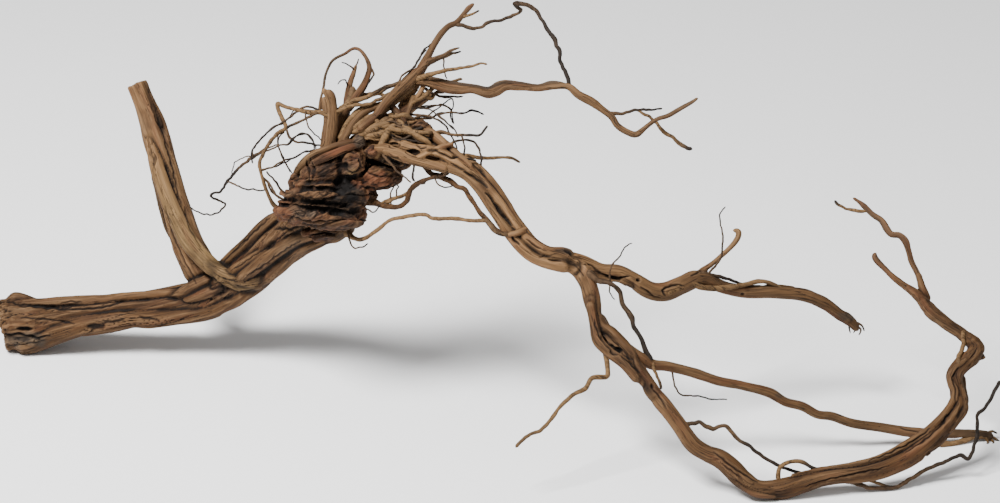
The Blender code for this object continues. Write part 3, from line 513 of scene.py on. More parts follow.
# Strands that only the surface shows: the run each lies on, how far before that run's middle, and its
# stations as (across, down, radius).
STRANDS = {
    "loop_cord_low": ("descender", 4, [
        (738, 482, 4.6), (752, 491.5, 5), (770, 494, 5), (790, 490, 5), (810, 485, 4.5), (835, 479, 4.5),
        (860, 474, 4.5), (885, 468, 4.5), (905, 460, 4.5), (922, 450, 4.5), (937, 440, 5.2), (952, 425, 5.4),
        (963, 410, 5.2), (963, 398, 4), (961, 386, 3),
    ]),
    "loop_cord_top": ("descender", 5, [
        (790, 475, 2), (825, 468, 2.4), (850, 464, 2.6), (872, 459, 3), (891, 451.5, 3.4), (909, 441.5, 4),
        (926, 431, 4.4), (939.5, 418.5, 4.6), (950.5, 405, 4.8), (955, 392, 4.5), (950, 380, 4.5),
        (954, 369, 4),
        (965, 360, 4), (974, 350, 3.5), (977, 343, 2),
    ]),
    "stem_strand_front": ("stem_low", 1, [
        (372, 150, 6), (385, 149, 6.8), (397, 154, 6.6), (410, 159.5, 6), (424, 162.5, 5.2),
        (438, 165.5, 5.2),
        (449, 168.5, 5.4), (458.5, 171.5, 6), (466.5, 176, 6.3), (476.5, 185, 6.5), (484, 194, 6.8),
        (491, 205, 7), (498, 215, 7.2), (505, 226, 7.5), (512, 235.5, 8), (520.5, 245, 8.5), (530, 253, 9),
        (538, 257.5, 9.2), (549, 261, 9.8), (562, 263.5, 10.4), (574, 267, 9.5),
    ]),
    "stem_strand_middle": ("stem_low", 0, [
        (398, 143, 6), (412, 148, 5.6), (427, 150, 6.2), (441, 153, 6.2), (453, 161, 6.6), (465, 170, 6.5),
        (478, 180, 6.5), (489, 191, 6.5), (499, 204, 6.8), (509, 219, 7), (519, 233, 7.5), (531, 245, 8.5),
        (545, 254, 9.5), (560, 258, 10), (573, 264, 10.5),
    ]),
    "stem_strand_top": ("stem_high", -1, [
        (410, 134, 6), (425, 136, 7), (437, 142, 7), (448, 149, 7.2), (460, 159, 7), (473, 167, 7.5),
        (484, 177, 7.6), (494, 189.5, 7.8), (503, 202.5, 7.8), (511.5, 217, 7.8), (522, 231, 7.6),
        (534, 244, 7.6),
        (548, 252, 7.6), (562, 253, 7), (574, 257, 7),
    ]),
    "reach_under": ("reach", 2, [
        (582, 270, 5), (594, 277, 4), (606, 279, 3.2), (618, 279, 3.5), (630, 284, 5),
    ]),
    "reach_cord_top": ("reach", 1, [
        (765, 285, 2), (785, 286, 2), (803, 290, 2), (818, 297, 2), (832, 306, 2), (842, 311, 2.4),
    ]),
    "stem_back": ("stem_low", -7, [
        (452, 160, 7), (472, 174, 8), (487, 190.5, 8.4), (498, 205, 8.4), (508, 222, 8.6), (519, 237, 9),
        (536, 250, 9), (556, 257, 9),
    ]),
    "neck_upper": ("neck_top", 3, [
        (214, 274, 8), (231, 258, 8), (247, 243, 8.3), (262, 228, 8.3), (278, 216, 8.6), (292, 206, 8),
    ]),
    "neck_middle": ("neck_top", 10, [
        (222, 280, 7), (242, 262, 7.3), (257, 250, 7.8), (272, 238, 8), (290, 228, 8), (304, 222, 7),
    ]),
    "neck_lower": ("neck_front", 3, [
        (236, 283, 7.4), (250, 271, 8), (266, 258, 8.6), (283, 246, 8.2), (300, 238, 7.5), (316, 233, 6.5),
    ]),
    "neck_lowest": ("neck_front", -4, [
        (246, 289, 7.6), (262, 281, 8), (277, 269.5, 7.8), (290.5, 257.5, 7.4), (307, 246.5, 7),
        (324, 240, 6.8),
        (339, 234, 6.4),
    ]),
    "trunk_cord_top": ("butt", 11, [
        (18, 304, 6), (45, 303, 6), (75, 301, 6), (105, 299, 5.5), (135, 296, 5), (165, 293.5, 5),
        (190, 291, 5),
    ]),
    "trunk_cord_middle": ("butt", 9, [
        (8, 316, 8), (40, 314, 8), (75, 313, 8), (110, 311, 7.5), (145, 309, 7), (180, 307, 7), (212, 300, 7),
    ]),
    "trunk_cord_low": ("butt", 7, [
        (20, 332, 8), (50, 329, 7.5), (85, 325.5, 7), (120, 321.5, 7), (150, 318.5, 7), (185, 314, 7),
        (214, 308, 6),
    ]),
    "pale_end": ("stub_band", 2, [
        (188, 243, 5), (200, 257, 7.4), (213, 268, 9.2), (227, 276.5, 9.8), (243, 281, 9.2),
        (258, 280, 8), (270, 273, 7), (283, 264, 6),
    ]),
    "descender_back": ("descender", -6, [
        (594, 312, 8), (603, 328, 8), (612, 343, 8), (622, 355, 8), (634, 368, 8), (644, 382, 8),
    ]),
    "stub_ridge": ("stub", 4, [
        (146, 96, 4), (154, 112, 5), (160, 130, 6), (164, 150, 6), (168, 172, 5.5), (175, 196, 5),
        (184, 216, 4),
    ]),
    "descender_right": ("descender", 1, [
        (594, 306, 6), (601, 324, 7), (611, 333, 7.3), (622, 344, 7.3), (631, 355, 6.8), (637, 368, 6.5),
        (645, 381, 7.5), (654, 394, 8.4),
    ]),
}

# Runs whose core is slimmer than the solid's, so that the strands on them stand out.
SLIMMER_CORES = {
    "stem_strand_front": 0.93, "stem_strand_middle": 0.9, "stem_strand_top": 0.93, "neck_upper": 0.93,
    "neck_middle": 0.9, "neck_lower": 0.92, "neck_lowest": 0.93, "stem_low": 0.62, "stem_high": 0.7,
    "stem_coil": 0.85, "descender": 0.99, "neck_top": 0.8, "neck_front": 0.8,
}

# Runs that only the surface has, as (across, down, behind, radius).
MORE_RUNS = {
    "fork_right": [
        (925, 300, -105, 3.6), (922.5, 291, -101.5, 4.4), (920, 281, -97, 3.7), (917.5, 272, -92, 3),
    ],
    "foot_cord": [
        (146, 301, 88, 3), (166, 297.5, 75, 5), (182, 292.5, 66, 7), (197, 285.5, 61, 8.5),
        (212, 279.5, 57, 8.5), (228, 276, 49, 7),
        (243, 272, 36, 5),
    ],
    "foot_cord_low": [
        (156, 307, 86, 3), (177, 302.5, 71, 5), (196, 297, 60, 7), (214, 291, 51, 8), (232, 285, 42, 7.5),
        (249, 280, 30, 5.5),
    ],
    "stem_fill": [
        (398, 150, -116, 5), (414, 153, -117, 6), (432, 157.5, -119, 6.5), (448, 163, -121, 6.5),
        (463, 171, -124, 6),
    ],
    "far_arm_web": [
        (428, 80.5, -89, 2.6), (445, 85, -92.5, 2.6), (461, 87.5, -96.5, 2.4), (476, 89, -100, 2.2),
        (488, 91, -103, 2.4), (497, 88, -105.5, 2.4), (506, 84.5, -106.5, 2.2),
    ],
    "nest_b": [
        (362, 146, -100, 3.5), (385, 141, -108, 3.6), (410, 146, -118, 3.6), (430, 150, -120, 3.4),
        (450, 144, -120, 3),
    ],
    "nest_c": [(385, 100, -98, 3.4), (400, 116, -100, 4), (405, 132, -106, 4), (398, 148, -106, 3.6)],
    "nest_d": [
        (428, 93, -84, 3.6), (415, 103, -88, 4.2), (402, 112, -94, 4.4), (395, 127, -103, 4.4),
        (404, 142, -108, 4),
    ],
    "nest_e": [
        (374, 133, -106, 3), (390, 128, -106, 3), (403, 120, -100, 3), (409, 108, -94, 3), (413, 94, -90, 3),
    ],
    "nest_f": [(358, 131, -104, 2.6), (373, 137, -108, 2.8), (395, 134, -110, 2.6), (411, 127, -112, 2.4)],
    "bark_flake": [(150, 164, 82, 1.2), (153, 178, 78, 2.2), (157, 194, 76, 2.4), (161, 211, 75, 2.6),
                   (166, 228, 75, 2.4), (172, 242, 75, 1.2)],
    "nest_g": [(352, 150, -104, 5), (372, 152, -104, 6), (388, 160, -104, 5), (404, 164, -108, 3)],
    "nest_h": [(408, 152, -112, 4), (396, 156, -108, 4.5), (380, 148, -104, 5), (366, 140, -98, 5)],
    "nest_i": [(412, 121, -96, 3.6), (422, 127, -104, 4), (433, 137, -110, 3.6), (446, 146, -118, 3.4)],
    "nest_j": [(398, 130, -104, 3.4), (412, 126, -106, 3.6), (424, 129, -110, 3.6), (434, 139, -116, 3.2)],
    "root_shoulder": [
        (295, 173, -90, 3), (302, 164, -100, 4.4), (312, 155.5, -107, 4.6), (328, 148.5, -111, 4.2),
        (343, 143.5, -110, 3.6), (355, 141, -104, 3),
    ],
    "shoulder_twin": [
        (310, 164, -112, 3), (322, 158, -117, 4), (336, 152, -118, 4), (350, 146.5, -114, 3.6),
        (362, 144, -108, 3),
    ],
    "stem_brace": [(382, 149, -116, 5), (398, 153, -126, 5.2), (414, 160, -131, 5), (432, 165, -134, 4.6),
                   (448, 170, -136, 4.4)],
    "stem_wrap": [(454, 143, -128, 2.4), (442, 146, -132, 2.9), (431, 150.5, -134, 3), (422, 155, -134, 2.8),
                  (414, 158, -131, 2)],
    "stem_collar": [(527, 228, -136, 2.6), (521, 231, -144, 3), (514, 233, -147, 3), (507, 234, -146, 2.4)],
    "finger_dark": [(337, 150, -92, 6), (341, 133, -90, 5.6), (345, 116, -86, 5), (347, 102, -82, 3.6),
                    (350, 91, -76, 3)],
    "finger_hook": [(327, 152, -99, 4.4), (329, 136, -99, 4), (331, 118, -101, 3.8), (330, 104, -103, 3.6),
                    (326, 93, -105, 3.2), (322, 88, -106, 2.4)],
    "crown_fork": [(404, 112, -92, 3.6), (412, 102, -90, 3.4), (420, 92, -90, 3), (424, 82, -88, 2.4)],
}

# More slender roots, in the form of the table above.
MORE_ROOTLETS = {
    "end_fibre_a": ([(850, 320), (849, 327), (850, 333)], (-38, -36), (1.2, 0.5)),
    "end_fibre_b": ([(854, 323), (855, 329), (853, 333)], (-36, -33), (1.1, 0.5)),
    "end_fibre_c": ([(857, 325), (860, 330), (858, 335)], (-35, -32), (1.3, 0.5)),
    "end_fibre_d": ([(856, 322), (862, 326), (864, 331)], (-34, -30), (1.2, 0.6)),
    "tooth_a": ([(984, 436), (987, 441), (986, 445)], (-76, -78), (1.6, 0.7)),
    "tooth_b": ([(989, 437), (993, 442), (992, 446)], (-74, -77), (1.6, 0.6)),
    "tooth_c": ([(992, 436), (997, 440), (999, 443)], (-73, -72), (1.6, 0.7)),
    "tooth_d": ([(988, 433), (992, 431), (997, 433)], (-74, -70), (1.5, 0.8)),
    "burl_curl": (
        [(385, 203), (397, 197), (405, 193), (411, 189), (418, 184), (426, 181)],
        (-98, -126), (1.5, 1.2),
    ),
    "curl_spur": ([(390, 205), (391, 192), (394, 184)], (-100, -104), (0.8, 0.6)),
    "curl_spur_b": ([(396, 200), (396, 190), (399, 186), (393, 183)], (-104, -106), (0.8, 0.5)),
    "under_link": ([(434, 177), (438, 184), (445, 187), (454, 185)], (-129, -128), (0.7, 0.6)),
    "burl_drip": ([(366, 208), (372, 212), (376, 209), (379, 204)], (-96, -98), (0.8, 0.6)),
    "left_rod_a": ([(296, 111), (286, 120), (273, 127), (263, 136), (255, 145), (251, 154), (253, 163)],
                   (-80, -84), (1.0, 0.8)),
    "left_rod_b": ([(262, 150), (271, 149), (279, 145), (287, 144), (292, 138), (299, 134), (307, 134),
                    (312, 140), (314, 150)], (-97, -98), (0.8, 0.7)),
    "left_rod_c": (
        [(261, 169), (272, 167), (282, 161), (294, 157), (304, 152), (314, 150)],
        (-97, -96), (0.8, 0.8),
    ),
    "left_rod_d": ([(296, 112), (303, 107), (311, 107), (321, 111)], (-80, -86), (1.1, 0.9)),
    "left_rod_e": ([(284, 131), (278, 138), (278, 147), (283, 158), (290, 172)], (-82, -78), (0.7, 0.6)),
    "left_rod_f": ([(263, 178), (268, 183), (271, 190), (280, 198)], (-94, -84), (1.1, 0.9)),
    "pale_line_a": ([(364, 138), (380, 138.5), (393, 138), (408, 135), (420, 133), (432, 131), (447, 133)],
                    (-112, -108), (1.5, 1.1)),
    "pale_line_b": ([(388, 138.5), (395, 133), (402, 127), (406, 121)], (-112, -104), (1.3, 1.0)),
    "pale_line_c": ([(401, 139), (408, 147), (411.5, 158), (413.5, 166), (412.5, 174), (415, 181)],
                    (-116, -138), (1.2, 0.7)),
    "pale_line_d": ([(443, 175), (451, 168), (459, 161), (468, 158.5), (476, 161)], (-136, -128), (1.1, 1.0)),
    "wire_a": ([(443, 57), (444, 70), (446, 79)], (-80, -88), (0.8, 0.6)),
    "wire_b": ([(399, 90), (402, 80), (410, 72), (419, 58), (426, 49)], (-92, -72), (1.0, 0.8)),
    "wisp_g": (
        [(412, 120), (420, 116), (430, 118), (438, 114), (450, 112), (462, 113), (472, 110), (483, 114)],
        (-96, -70), (1.0, 0.7),
    ),
    "wisp_h": ([(438, 115), (446, 122), (454, 129), (458, 137)], (-90, -108), (0.8, 0.6)),
    "wisp_i": (
        [(408, 108), (425, 106), (442, 105), (451, 109), (450, 115), (453, 123)],
        (-88, -70), (1.0, 0.7),
    ),
    "wisp_j": ([(424, 88), (434, 94), (446, 97), (462, 96)], (-86, -72), (1.2, 0.8)),
    "crown_cross_a": ([(350, 97), (362, 94), (375, 93), (388, 96), (398, 90)], (-76, -98), (1.6, 1.6)),
    "crown_cross_b": (
        [(331, 122), (340, 110), (352, 101), (366, 97), (382, 88), (404, 81)],
        (-106, -98), (2.0, 1.6),
    ),
    "crown_cross_c": ([(339, 140), (346, 125), (355, 113), (366, 107), (378, 104), (394, 101)], (-104, -98),
                      (2.8, 2.4)),
    "crown_cross_d": ([(334, 136), (338, 122), (345, 110), (350, 98), (353, 86)], (-96, -80), (3.4, 3.0)),
    "crown_cross_e": ([(352, 130), (362, 120), (377, 114), (388, 108), (402, 96), (414, 84)], (-106, -92),
                      (2.8, 2.2)),
    "crown_cross_f": ([(420, 92), (430, 98), (436, 92), (444, 92)], (-90, -76), (2.4, 1.2)),
    "crown_cross_g": ([(408, 104), (420, 98), (428, 92), (436, 84)], (-92, -86), (2.6, 1.8)),
}

# More lumps of the burl, as (across, down, behind), half sizes and turn.
MORE_LUMPS = {
    "ruffle_low": ((366, 192, -88), (11, 11, 14), 0),
    "fill_top": ((322, 186, -94), (30, 7, 22), 2),
    "fill_low": ((316, 205.5, -92), (40, 7, 22), 5),
    "cut_knob": ((371, 151.5, -112), (7, 6.6, 6), 0),
    "char_knob": ((360, 141, -108), (7.5, 7, 7), 0),
    "ruffle_tip": ((392, 176, -104), (10, 5, 5), 4),
    "clump_left": ((297, 177, -88), (9, 6, 8), -20),
    "flake_left": ((286, 211, -74), (13, 8, 12), -20),
    "back_left": ((317, 182, -46), (22, 22, 18), 0),
    "back_right": ((345, 200, -42), (22, 20, 16), 0),
    "back_top": ((335, 160, -64), (22, 17, 16), 0),
    "grey_knob": ((299, 212, -99), (8, 6, 6), 0),
    "heart_right": ((388, 160, -82), (26, 12, 16), -4),
    "crown_fill": ((382, 122, -84), (11, 10, 7), 0),
    "burl_foot": ((354, 214, -80), (13, 14, 18), -20),
    "heart_mid": ((366, 168, -84), (14, 12, 16), 0),
    "heel": ((328, 232, -62), (26, 8, 14), -6),
    "brown_knob": ((421, 128, -106), (11, 8, 9), 10),
}

# Cracks, as the sheet shows them: stations (across, down), half width, depth in millimetres and the strength
# of the painted shade in them.
CRACKS = [
    ([(10, 305), (40, 306), (70, 308), (96, 308), (125, 301)], 1.1, 2.2, 1.0),
    ([(60, 303), (70, 301), (82, 302)], 0.8, 1.2, 0.9),
    ([(20, 317), (45, 319), (75, 323)], 0.9, 1.6, 0.9),
    ([(100, 323), (112, 321), (125, 318)], 0.9, 1.4, 0.9),
    ([(138, 316), (160, 319)], 1.0, 1.6, 0.9),
    ([(0, 337), (18, 334), (38, 338), (50, 335)], 1.2, 2.2, 1.0),
    ([(4, 346), (26, 344), (44, 340)], 0.8, 1.0, 0.7),
    ([(150, 103), (157, 120), (165, 128), (167, 145), (172, 165), (177, 190), (182, 205)], 0.9, 1.8, 1.0),
    ([(146, 138), (150, 150), (153, 166)], 0.9, 1.0, 0.6),
    ([(164, 205), (172, 236), (184, 262), (196, 284)], 1.0, 1.2, 0.7),
    ([(184, 206), (190, 228), (200, 246)], 0.8, 1.2, 0.8),
    ([(205, 285), (226, 283), (238, 291)], 0.9, 1.0, 0.6),
    ([(222, 262), (238, 246), (256, 229), (270, 216)], 0.9, 1.6, 0.8),
    ([(234, 268), (252, 256), (270, 243), (290, 229)], 0.9, 1.8, 0.9),
    ([(246, 276), (262, 266), (282, 252), (300, 240)], 0.8, 1.4, 0.8),
    ([(262, 288), (286, 275), (308, 262), (330, 250)], 0.8, 1.2, 0.7),
    ([(463, 171), (472, 174.5), (480, 180), (488, 186.5)], 1.5, 3.2, 1.0),
    ([(470, 170), (477, 175), (484, 181)], 0.8, 1.4, 0.8),
    ([(484.5, 191), (492, 198.5), (497, 207), (501.7, 213), (507.7, 219), (512, 225)], 1.2, 3.2, 1.0),
    ([(436, 151), (443.5, 154.5), (449.5, 157), (459, 155.5)], 1.2, 2.6, 1.0),
    ([(449, 162), (458, 166), (466, 171)], 0.9, 1.4, 0.7),
    ([(415, 143), (421, 149), (427, 146)], 0.9, 1.6, 0.8),
    ([(500, 236), (507, 241), (514, 250)], 0.9, 1.4, 0.6),
    ([(511, 237), (515, 240.5), (519, 244)], 1.4, 2.2, 0.9),
    ([(526, 238), (532, 243), (540.5, 248)], 1.0, 2.0, 0.9),
    ([(538, 257), (544, 255), (550, 256)], 0.8, 1.0, 0.8),
    ([(547, 259), (554, 260), (562, 260)], 1.2, 2.6, 1.0),
    ([(480, 168), (482, 172), (487, 176)], 0.8, 0.8, 0.7),
    ([(572, 262), (578, 268), (583, 276)], 0.8, 1.6, 0.8),
    ([(594, 322), (599, 334), (607, 345), (618, 352)], 1.3, 2.6, 1.0),
    ([(618, 352), (630, 362), (640, 372)], 1.2, 2.4, 1.0),
    ([(600, 330), (610, 340), (622, 350), (634, 362), (640, 376)], 0.8, 1.2, 0.6),
    ([(652, 385), (660, 398), (666, 408)], 0.9, 1.8, 0.9),
    ([(712, 450), (726, 462), (741, 472), (757, 482)], 0.9, 1.8, 0.9),
    ([(720, 462), (732, 472), (742, 480)], 0.8, 1.2, 0.8),
    ([(800, 487), (830, 479), (862, 472), (890, 465)], 0.9, 1.8, 0.9),
    ([(868, 461), (890, 452), (912, 441), (930, 428)], 0.9, 1.8, 1.0),
    ([(905, 452), (924, 440), (941, 424), (953, 408)], 0.9, 1.8, 1.0),
    ([(956, 402), (955, 390), (952, 378), (958, 366)], 0.8, 1.6, 0.9),
    ([(968, 360), (974, 352), (977, 346)], 0.8, 1.4, 0.8),
    ([(900, 428), (916, 431), (918, 432)], 0.8, 1.0, 0.8),
    ([(665, 296), (662, 290), (666, 286), (674, 284), (684, 286)], 1.1, 2.2, 1.0),
    ([(668, 291), (676, 288), (684, 289)], 0.8, 1.2, 0.8),
    ([(594, 270), (606, 276), (618, 279), (629, 276)], 1.2, 2.6, 1.0),
    ([(583, 262), (592, 266), (600, 272)], 0.9, 1.6, 0.8),
    ([(640, 286), (650, 294), (660, 298)], 0.9, 1.6, 0.8),
    ([(690, 276), (699, 271), (708, 272)], 1.0, 1.8, 0.9),
    ([(696, 282), (708, 288), (722, 290)], 0.9, 1.6, 0.8),
    ([(306, 184), (316, 187), (330, 188), (345, 190)], 0.9, 1.8, 0.8),
    ([(280, 203), (298, 206), (316, 208), (336, 207), (356, 206)], 1.0, 2.0, 0.8),
    ([(306, 160), (308, 170), (308, 182)], 1.0, 2.0, 0.9),
    ([(320, 164), (332, 158), (345, 152), (356, 152)], 0.9, 1.8, 0.8),
    ([(364, 146), (365, 152), (368, 158)], 1.0, 2.0, 0.9),
    ([(366, 160), (366, 170), (361, 177)], 1.2, 2.6, 1.0),
    ([(384, 178), (391, 175), (398, 177)], 0.9, 1.4, 0.8),
    ([(318, 193), (324, 191), (330, 193), (324, 195), (318, 193)], 0.7, 1.0, 0.9),
    ([(294, 210), (300, 208), (306, 211), (303, 216), (296, 215), (294, 210)], 0.7, 1.2, 0.9),
    ([(310, 210), (315, 209), (318, 213), (313, 217)], 0.7, 1.0, 0.9),
    ([(275, 228), (290, 229), (305, 225)], 1.5, 3.2, 1.0),
    ([(308, 236), (320, 232), (332, 234)], 1.4, 2.8, 1.0),
    ([(290, 216), (312, 222), (340, 220)], 1.0, 2.0, 0.8),
    ([(296, 196), (318, 199), (340, 198)], 1.0, 1.8, 0.9),
    ([(310, 158), (314, 168), (312, 182)], 0.8, 1.4, 0.8),
    ([(338, 160), (344, 168), (352, 172), (360, 166), (358, 158), (350, 156)], 0.9, 1.6, 0.9),
    ([(366, 172), (380, 176), (396, 175)], 1.0, 1.8, 0.8),
    ([(362, 186), (376, 190), (390, 186)], 1.2, 2.0, 0.9),
]

# Hollows and knot holes: middle (across, down), half sizes, depth in millimetres and the strength of the
# painted shade in them.
HOLLOWS = [
    ((24, 328.5), (8, 2.4), 3.0, 1.0),
    ((95, 326), (10, 3.2), 1.8, 0.9),
    ((383, 122), (6, 7), 4.0, 1.0),
    ((392, 163), (8, 6), 3.0, 0.9),
    ((638, 279.5), (2.0, 1.8), 2.0, 1.0),
    ((392.5, 174.5), (2, 1.5), 1.6, 1.0),
    ((615, 351), (6, 3.6), 2.8, 1.0),
    ((652, 385), (2.0, 2.6), 1.8, 1.0),
    ((742, 294), (2.0, 1.6), 1.0, 0.8),
    ((345, 184), (13, 9), 3.6, 0.95),
    ((343, 166), (5, 4.5), 4.0, 1.0),
    ((412, 152), (7, 3), 2.5, 0.9),
    ((394, 145), (5, 3), 2.5, 0.9),
    ((432, 150), (6, 2.4), 2.0, 0.8),
    ((352, 199), (9, 6), 2.6, 0.95),
    ((336, 212), (7, 3), 2.0, 0.8),
    ((300, 190), (5, 3), 1.6, 0.8),
    ((154, 160), (2, 6), 0.8, 0.7),
]

# Patches of other colour: middle (across, down), half sizes, colour name and strength. The near-black patches
# paint charred wood, and also painted shade in the burl's hollows, gaps and underside.
PATCHES = [
    ((350, 187), (17, 19), "char_and_shade", 1.0),
    ((336, 202), (34, 8), "char_and_shade", 0.8),
    ((345, 210), (22, 8), "char_and_shade", 0.6),
    ((352, 228), (12, 10), "char_and_shade", 0.5),
    ((24, 339), (28, 8), "ash", 0.8),
    ((360, 141), (9, 8), "ash", 0.75),
    ((371, 152), (7, 7), "rust", 0.45),
    ((352, 171), (6, 4), "pale", 0.7),
    ((394, 177), (10, 5), "tan", 0.6),
    ((283, 214), (12, 8), "rust", 0.7),
    ((312, 213), (7, 5), "ash", 0.7),
    ((344, 213), (16, 6), "char_and_shade", 0.7),
    ((330, 222), (12, 5), "wood", 0.6),
    ((310, 197), (20, 6), "wood", 0.5),
    ((330, 166), (28, 10), "umber", 0.7),
    ((300, 213), (9, 7), "ash", 0.6),
    ((564, 250), (13, 4), "char_and_shade", 0.8),
    ((846, 316), (9, 5), "ash", 0.7),
    ((778, 395), (5, 3), "ash", 0.5),
    ((374, 181), (24, 11), "rust", 0.85),
    ((322, 164), (26, 12), "umber", 0.6),
    ((154, 205), (5, 26), "bark", 0.7),
    ((985, 436), (12, 8), "bark", 0.6),
    ((388, 163), (20, 6), "char_and_shade", 0.9),
    ((344, 166), (7, 6), "char_and_shade", 0.7),
    ((384, 122), (10, 9), "char_and_shade", 0.8),
    ((405, 112), (9, 12), "umber", 0.6),
    ((330, 236), (22, 6), "char_and_shade", 0.6),
    ((210, 292), (16, 9), "umber", 0.5),
    ((420, 128), (12, 8), "umber", 0.5),
    ((100, 318), (28, 6), "umber", 0.5),
]


def from_screen(red, green, blue):
    """A colour as a screen shows it, 0 to 255, in the linear values that shaders take."""
    return np.array([((value / 255 + 0.055) / 1.055) ** 2.4 for value in (red, green, blue)])


COLOURS = {
    "wood": from_screen(68, 46, 26),
    "limb": from_screen(83, 60, 38),
    "tan": from_screen(104, 77, 50),
    # Dust, also the painted highlight on convex edges.
    "dust_and_highlight": from_screen(122, 97, 70),
    "wood_dark": from_screen(56, 36, 21),
    "pale": from_screen(102, 80, 51),
    "umber": from_screen(58, 38, 24),
    "rust": from_screen(80, 46, 28),
    # Charred wood, also painted shade in hollows, gaps and the burl's underside.
    "char_and_shade": from_screen(18, 14, 12),
    # Near black painted shade for cracks, seams, hollows, hairline splits and pores.
    "crevice_shade": from_screen(10, 6, 4),
    "ash": from_screen(54, 47, 40),
    "bark": from_screen(48, 35, 24),
    "twig": from_screen(72, 54, 37),
    "twig_dark": from_screen(36, 29, 24),
    "twig_pale": from_screen(100, 76, 50),
    "earth": from_screen(66, 44, 26),
    "bark_brown": from_screen(68, 46, 30),
}

# The wood of each run that isn't plain "wood", from its start to its end.
RUN_COLOURS = {
    "stub_band": ("tan", "pale", "pale", "pale", "wood"), "pale_end": ("pale", "wood"),
    "stub": ("limb", "tan", "tan", "wood"), "stub_ridge": "limb", "bark_flake": "bark",
    "far_arm_twin": ("twig", "twig_dark", "twig_dark"), "far_arm": ("limb", "limb", "limb", "limb", "bark"),
    "top_limb": ("limb", "wood_dark"), "crown_front": ("limb", "limb", "bark"),
    "arch": ("limb", "wood", "bark", "bark", "wood"), "straight": ("limb", "limb", "limb", "limb", "bark"),
    "reach": ("tan", "tan", "limb", "limb", "wood"),
    "butt": ("wood", "earth", "earth", "wood"), "trunk_cord_middle": ("wood", "wood", "limb", "limb"),
    "reach_twig": ("limb", "limb", "twig_pale"), "arm_high": ("wood", "wood_dark", "bark"),
    "arm_low": ("wood", "wood", "bark"), "descender": ("tan", "limb", "limb", *["wood"] * 6),
    "finger_dark": ("umber", "rust", "wood_dark"), "finger_hook": "tan",
    "shoulder_twin": ("umber", "rust", "umber"), "root_shoulder": ("wood", "twig_pale", "wood", "umber"),
    "nest_c": "umber", "nest_d": "wood_dark", "nest_g": "wood", "nest_h": "umber", "nest_j": "umber",
}
# The wood of the other runs that isn't plain "wood", by how their names begin.
COLOURS_BY_START = {
    "stem": "tan", "nest": "tan", "crown": "tan", "finger": "limb", "reach": "limb", "far": "limb",
}

# Fine skins: the runs, whether the burl's lumps join in, and the size of the skin's squares in millimetres.
# The order of a skin's runs sets where each run's grain starts.
SKINS = {
    "trunk": (["butt", "butt_crest", "butt_belly", "neck_top", "neck_front", "neck_back", "stub", "stub_band",
               "neck_upper", "neck_middle", "neck_lower", "neck_lowest", "trunk_cord_top",
               "trunk_cord_middle", "trunk_cord_low", "stub_ridge", "pale_end", "bark_flake", "foot_cord",
               "foot_cord_low"], False, 1.0),
    "burl": (["crown_root"], True, 0.68),
    "stem": (["stem_low", "stem_high", "stem_coil", "stem_strand_front", "stem_strand_middle",
              "stem_strand_top", "stem_back", "descender_back", "descender", "descender_twin",
              "descender_right", "loop_cord_low", "loop_cord_top", "loop_rib", "elbow_spur", "stem_wrap",
              "stem_collar", "stem_fill", "fork_right"], False, 0.82),
    "limbs": (["arm_low", "arm_high", "straight", "reach", "reach_under", "reach_cord_top", "reach_twig",
               "far_arm", "far_arm_twin", "far_arm_web"], False, 0.68),
    "crown": (["crown_front", "crown_back", "top_limb", "arch", "finger_back", "finger_blunt", "finger_left",
               "finger_thick", "finger_right", "nest_b", "nest_c", "nest_d", "nest_e", "nest_f", "nest_g",
               "nest_h", "nest_i", "nest_j", "root_shoulder", "shoulder_twin", "stem_brace", "crown_fork",
               "finger_dark", "finger_hook"], False, 0.61),
}
# Runs that start at a sawn or broken end.
FLAT_STARTS = ("stub", "butt")

# Runs that are drawn as slender roots, and the slender roots that are dark or brown all along.
SLENDER_RUNS = ("antler", "hoop", "under_root", "under_twin", "low_root", "drip")
DARK_ROOTS = (
    "low_twig", "dark_creeper", "hair_curl", "hoop", "feeler", "far_fork", "drip", "reach_vine_twin",
)
BROWN_ROOTS = ("under_root", "under_twin")

COARSER = 1.0
# The camera looks this far above and left of the sheet's middle, in layout units.
CAMERA_OFFSET = 0.4
# How far the grain turns round a run, in radians for each metre along it.
TWIST_PER_METRE = 6.0
# The slender roots' radii, as a share of those laid out.
THICKER = 1.15
# How wide the seams and the valleys between neighbouring runs are, and where their grains mix.
SEAM_WIDTH = 1.3 * MM
VALLEY_WIDTH = 3 * MM
BLEND_WIDTH = 1.6 * MM
# How far carving may move a skin.
CARVING_LIMIT = 4.5 * MM
# Noise along the grain: width across and length along it in millimetres, layers, and a shift of its own.
RIDGES = (7, 70, 2)
FIBRES = (2.4, 34, 2, 5.1)
FISSURES = (4.2, 60, 2, 8.7)
FISSURE_PLACES = (14, 70, 1, 3.9)
WEATHERING = (16, 110, 2, 2.2)
RED_PLACES = (8, 45, 2, 12.6)
DUSTY_PLACES = (9, 60, 2, 17.3)
# Furrows and fibres, as shares of a run's radius.
TRUNK_FURROWS, FURROWS, FIBRE_SHARE = 0.085, 0.055, 0.025
# The deepest splits, seams and valleys, and the heights of the burl's ledges, undercuts and torn end.
SPLIT_DEPTH, SEAM_DEPTH, VALLEY_DEPTH = 2.2 * MM, 2.2 * MM, 1.2 * MM
LEDGE_HEIGHT, UNDERCUT_DEPTH, TORN_HEIGHT = 2.6 * MM, 1.2 * MM, 2.2 * MM
# The burl's ledges: how far one lies below the last, and how steeply its fibres rise to the right.
LEDGE_SPACING = 12.5
BURL_SLOPE = math.radians(28)
# Rounds of evening out that show narrow hollows and broad ones, where shade is painted, and the crests, where
# highlight is painted.
HOLLOW_ROUNDS = (8, 26)
